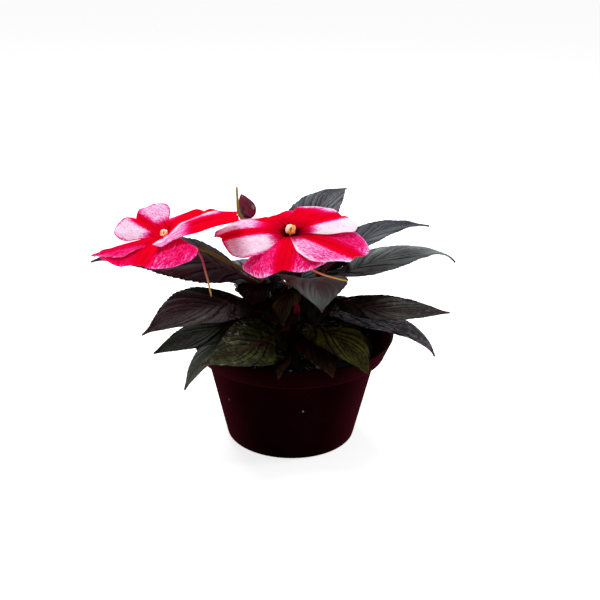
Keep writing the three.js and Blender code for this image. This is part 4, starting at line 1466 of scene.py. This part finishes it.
stalk_skin = run_finish("stalk_skin", (0.12, 0.045, 0.010), (0.13, 0.085, 0.010), (0.13, 0.08, 0.012))
for side in FLOWERS:
    piece = stalk("nectar_spur_" + side, curve_through(SPURS[side], 60), spur_radius, 14)
    x, y, z = FLOWERS[side]["centre"]
    wings = [sepal("sepal", (x, y, z - 2.6), turn, 14, 7.5, 4.2) for turn in (150, 20)]
    for wing in wings:
        soften(wing, 55)
    piece = join([piece, *wings], "nectar_spur_" + side)
    paint(piece, run_finish("spur_skin_" + side, *SPUR_COLOURS[side]))
    seat(piece, "spur", "flower_" + side + "_spur")
    piece = stalk("flower_stem_" + side, curve_through(STALKS[side], 48), stalk_radius, 12)
    paint(piece, stalk_skin)
    seat(piece, "stalk", "flower_" + side + "_stalk")
print("spurs and stalks made")

# %% [markdown]
# ## The bud
# A closed bud is an egg drawn to a point: the petals are wrapped round each other inside the
# outer sepal. A shallow spiral seam shows where one edge lies over the next. Its spur hooks up
# beside it, yellow-green, and it sits on a thin stalk that comes up behind the flowers.

# %% Bud
BUD_FOOT = (-21.9, 14.8, 111.7)
BUD_TIP = (-26.5, 14.8, 124.4)
BUD_LENGTH = 13.5
BUD_RADIUS = 4.8
BUD_PETAL_TURN = 2 * math.pi / 3
BUD_STEPS = 48
BUD_OUTLINE = ((0, 0), (2.6, 0.2), (4.0, 1.4), (4.8, 4.0), (4.4, 6.8), (3.2, 9.6), (1.7, 12.0), (0, 13.5))
BUD_SPUR = ((-23, 12, 112.2), (-25.4, 9.4, 112.6), (-27.4, 8.6, 116), (-28, 9, 123), (-28.3, 10, 129.6))
BUD_STALK = ((-0.5, 16.6, 88), (-8, 16, 98), (-16, 15, 105), (-21.7, 14, 111.2))


def bud_piece():
    foot, tip = np.array(BUD_FOOT), np.array(BUD_TIP)
    axis = unit(tip - foot)
    first = unit(np.cross(axis, [0, 1, 0]))
    second = np.cross(axis, first)
    piece, across, along = flat_grid("closed_bud", BUD_STEPS, BUD_STEPS)
    heights = BUD_LENGTH * (0.5 - 0.5 * np.cos(math.pi * along))
    outline_radii, outline_heights = zip(*BUD_OUTLINE)
    radii = np.interp(heights, outline_heights, outline_radii)
    level = heights / BUD_LENGTH
    round_off = BUD_RADIUS * np.sin(math.pi * level ** 0.74) ** 0.75 * (1 - 0.30 * smoothstep(0.45, 1, level))
    radii = radii * 0.5 + round_off * 0.5
    angle = across * math.pi
    seam = angle + 1.9 * level + 0.4
    ridge = np.exp(-((np.mod(seam, BUD_PETAL_TURN) - 1.0) / 0.10) ** 2)
    radii = radii * (1 - 0.05 * ridge * np.sin(math.pi * level))
    ends = (along < 0.001) | (along > 0.999)
    radii = np.where(ends, 0, radii)
    ring = first * np.cos(angle)[:, None] + second * np.sin(angle)[:, None]
    move_to(piece, foot + axis * heights[:, None] + ring * radii[:, None])
    note(piece, along=level, seam=ridge)
    merge_close(piece)
    soften(piece, 60)
    return piece


def bud_stalk_radius(share, angle):
    return 0.85 + 0.25 * smoothstep(0.9, 1, share)


def bud_finish():
    finish = Finish("bud_skin")
    along, seam = finish.attributes("along", "seam")
    streak = finish.noise(finish.place(), 500, 4)
    colour = finish.coats(
        (0.085, 0.004, 0.017),
        (streak.ramp(0.35, 0.7), (0.20, 0.010, 0.040)),
        (seam.ramp(0.2, 0.9) * 0.8, (0.42, 0.012, 0.050)),
        (along.ramp(0.0, 0.12, 0.7, 0.0), (0.20, 0.06, 0.03)),
    )
    return finish.set(colour=colour, roughness=0.34, normal=finish.bump(streak, 0.0001, 0.5))


bud = bud_piece()
paint(bud, bud_finish())
seat(bud, "bud", "bud")
hook = stalk("bud_hook", curve_through(BUD_SPUR, 40), lambda share, angle: 0.85 - 0.3 * share, 12)
paint(hook, run_finish("bud_spur_skin", (0.30, 0.09, 0.05), (0.36, 0.30, 0.03), (0.38, 0.36, 0.05)))
seat(hook, "spur", "bud_spur")
piece = stalk("bud_stem", curve_through(BUD_STALK, 40), bud_stalk_radius, 12)
paint(piece, run_finish("bud_stalk_skin", (0.12, 0.05, 0.014), (0.15, 0.09, 0.02), (0.34, 0.15, 0.06)))
seat(piece, "stalk", "bud_stalk")
print("bud made")

# %% [markdown]
# ## Finish

# %% Finish
print("the plant is dressed")
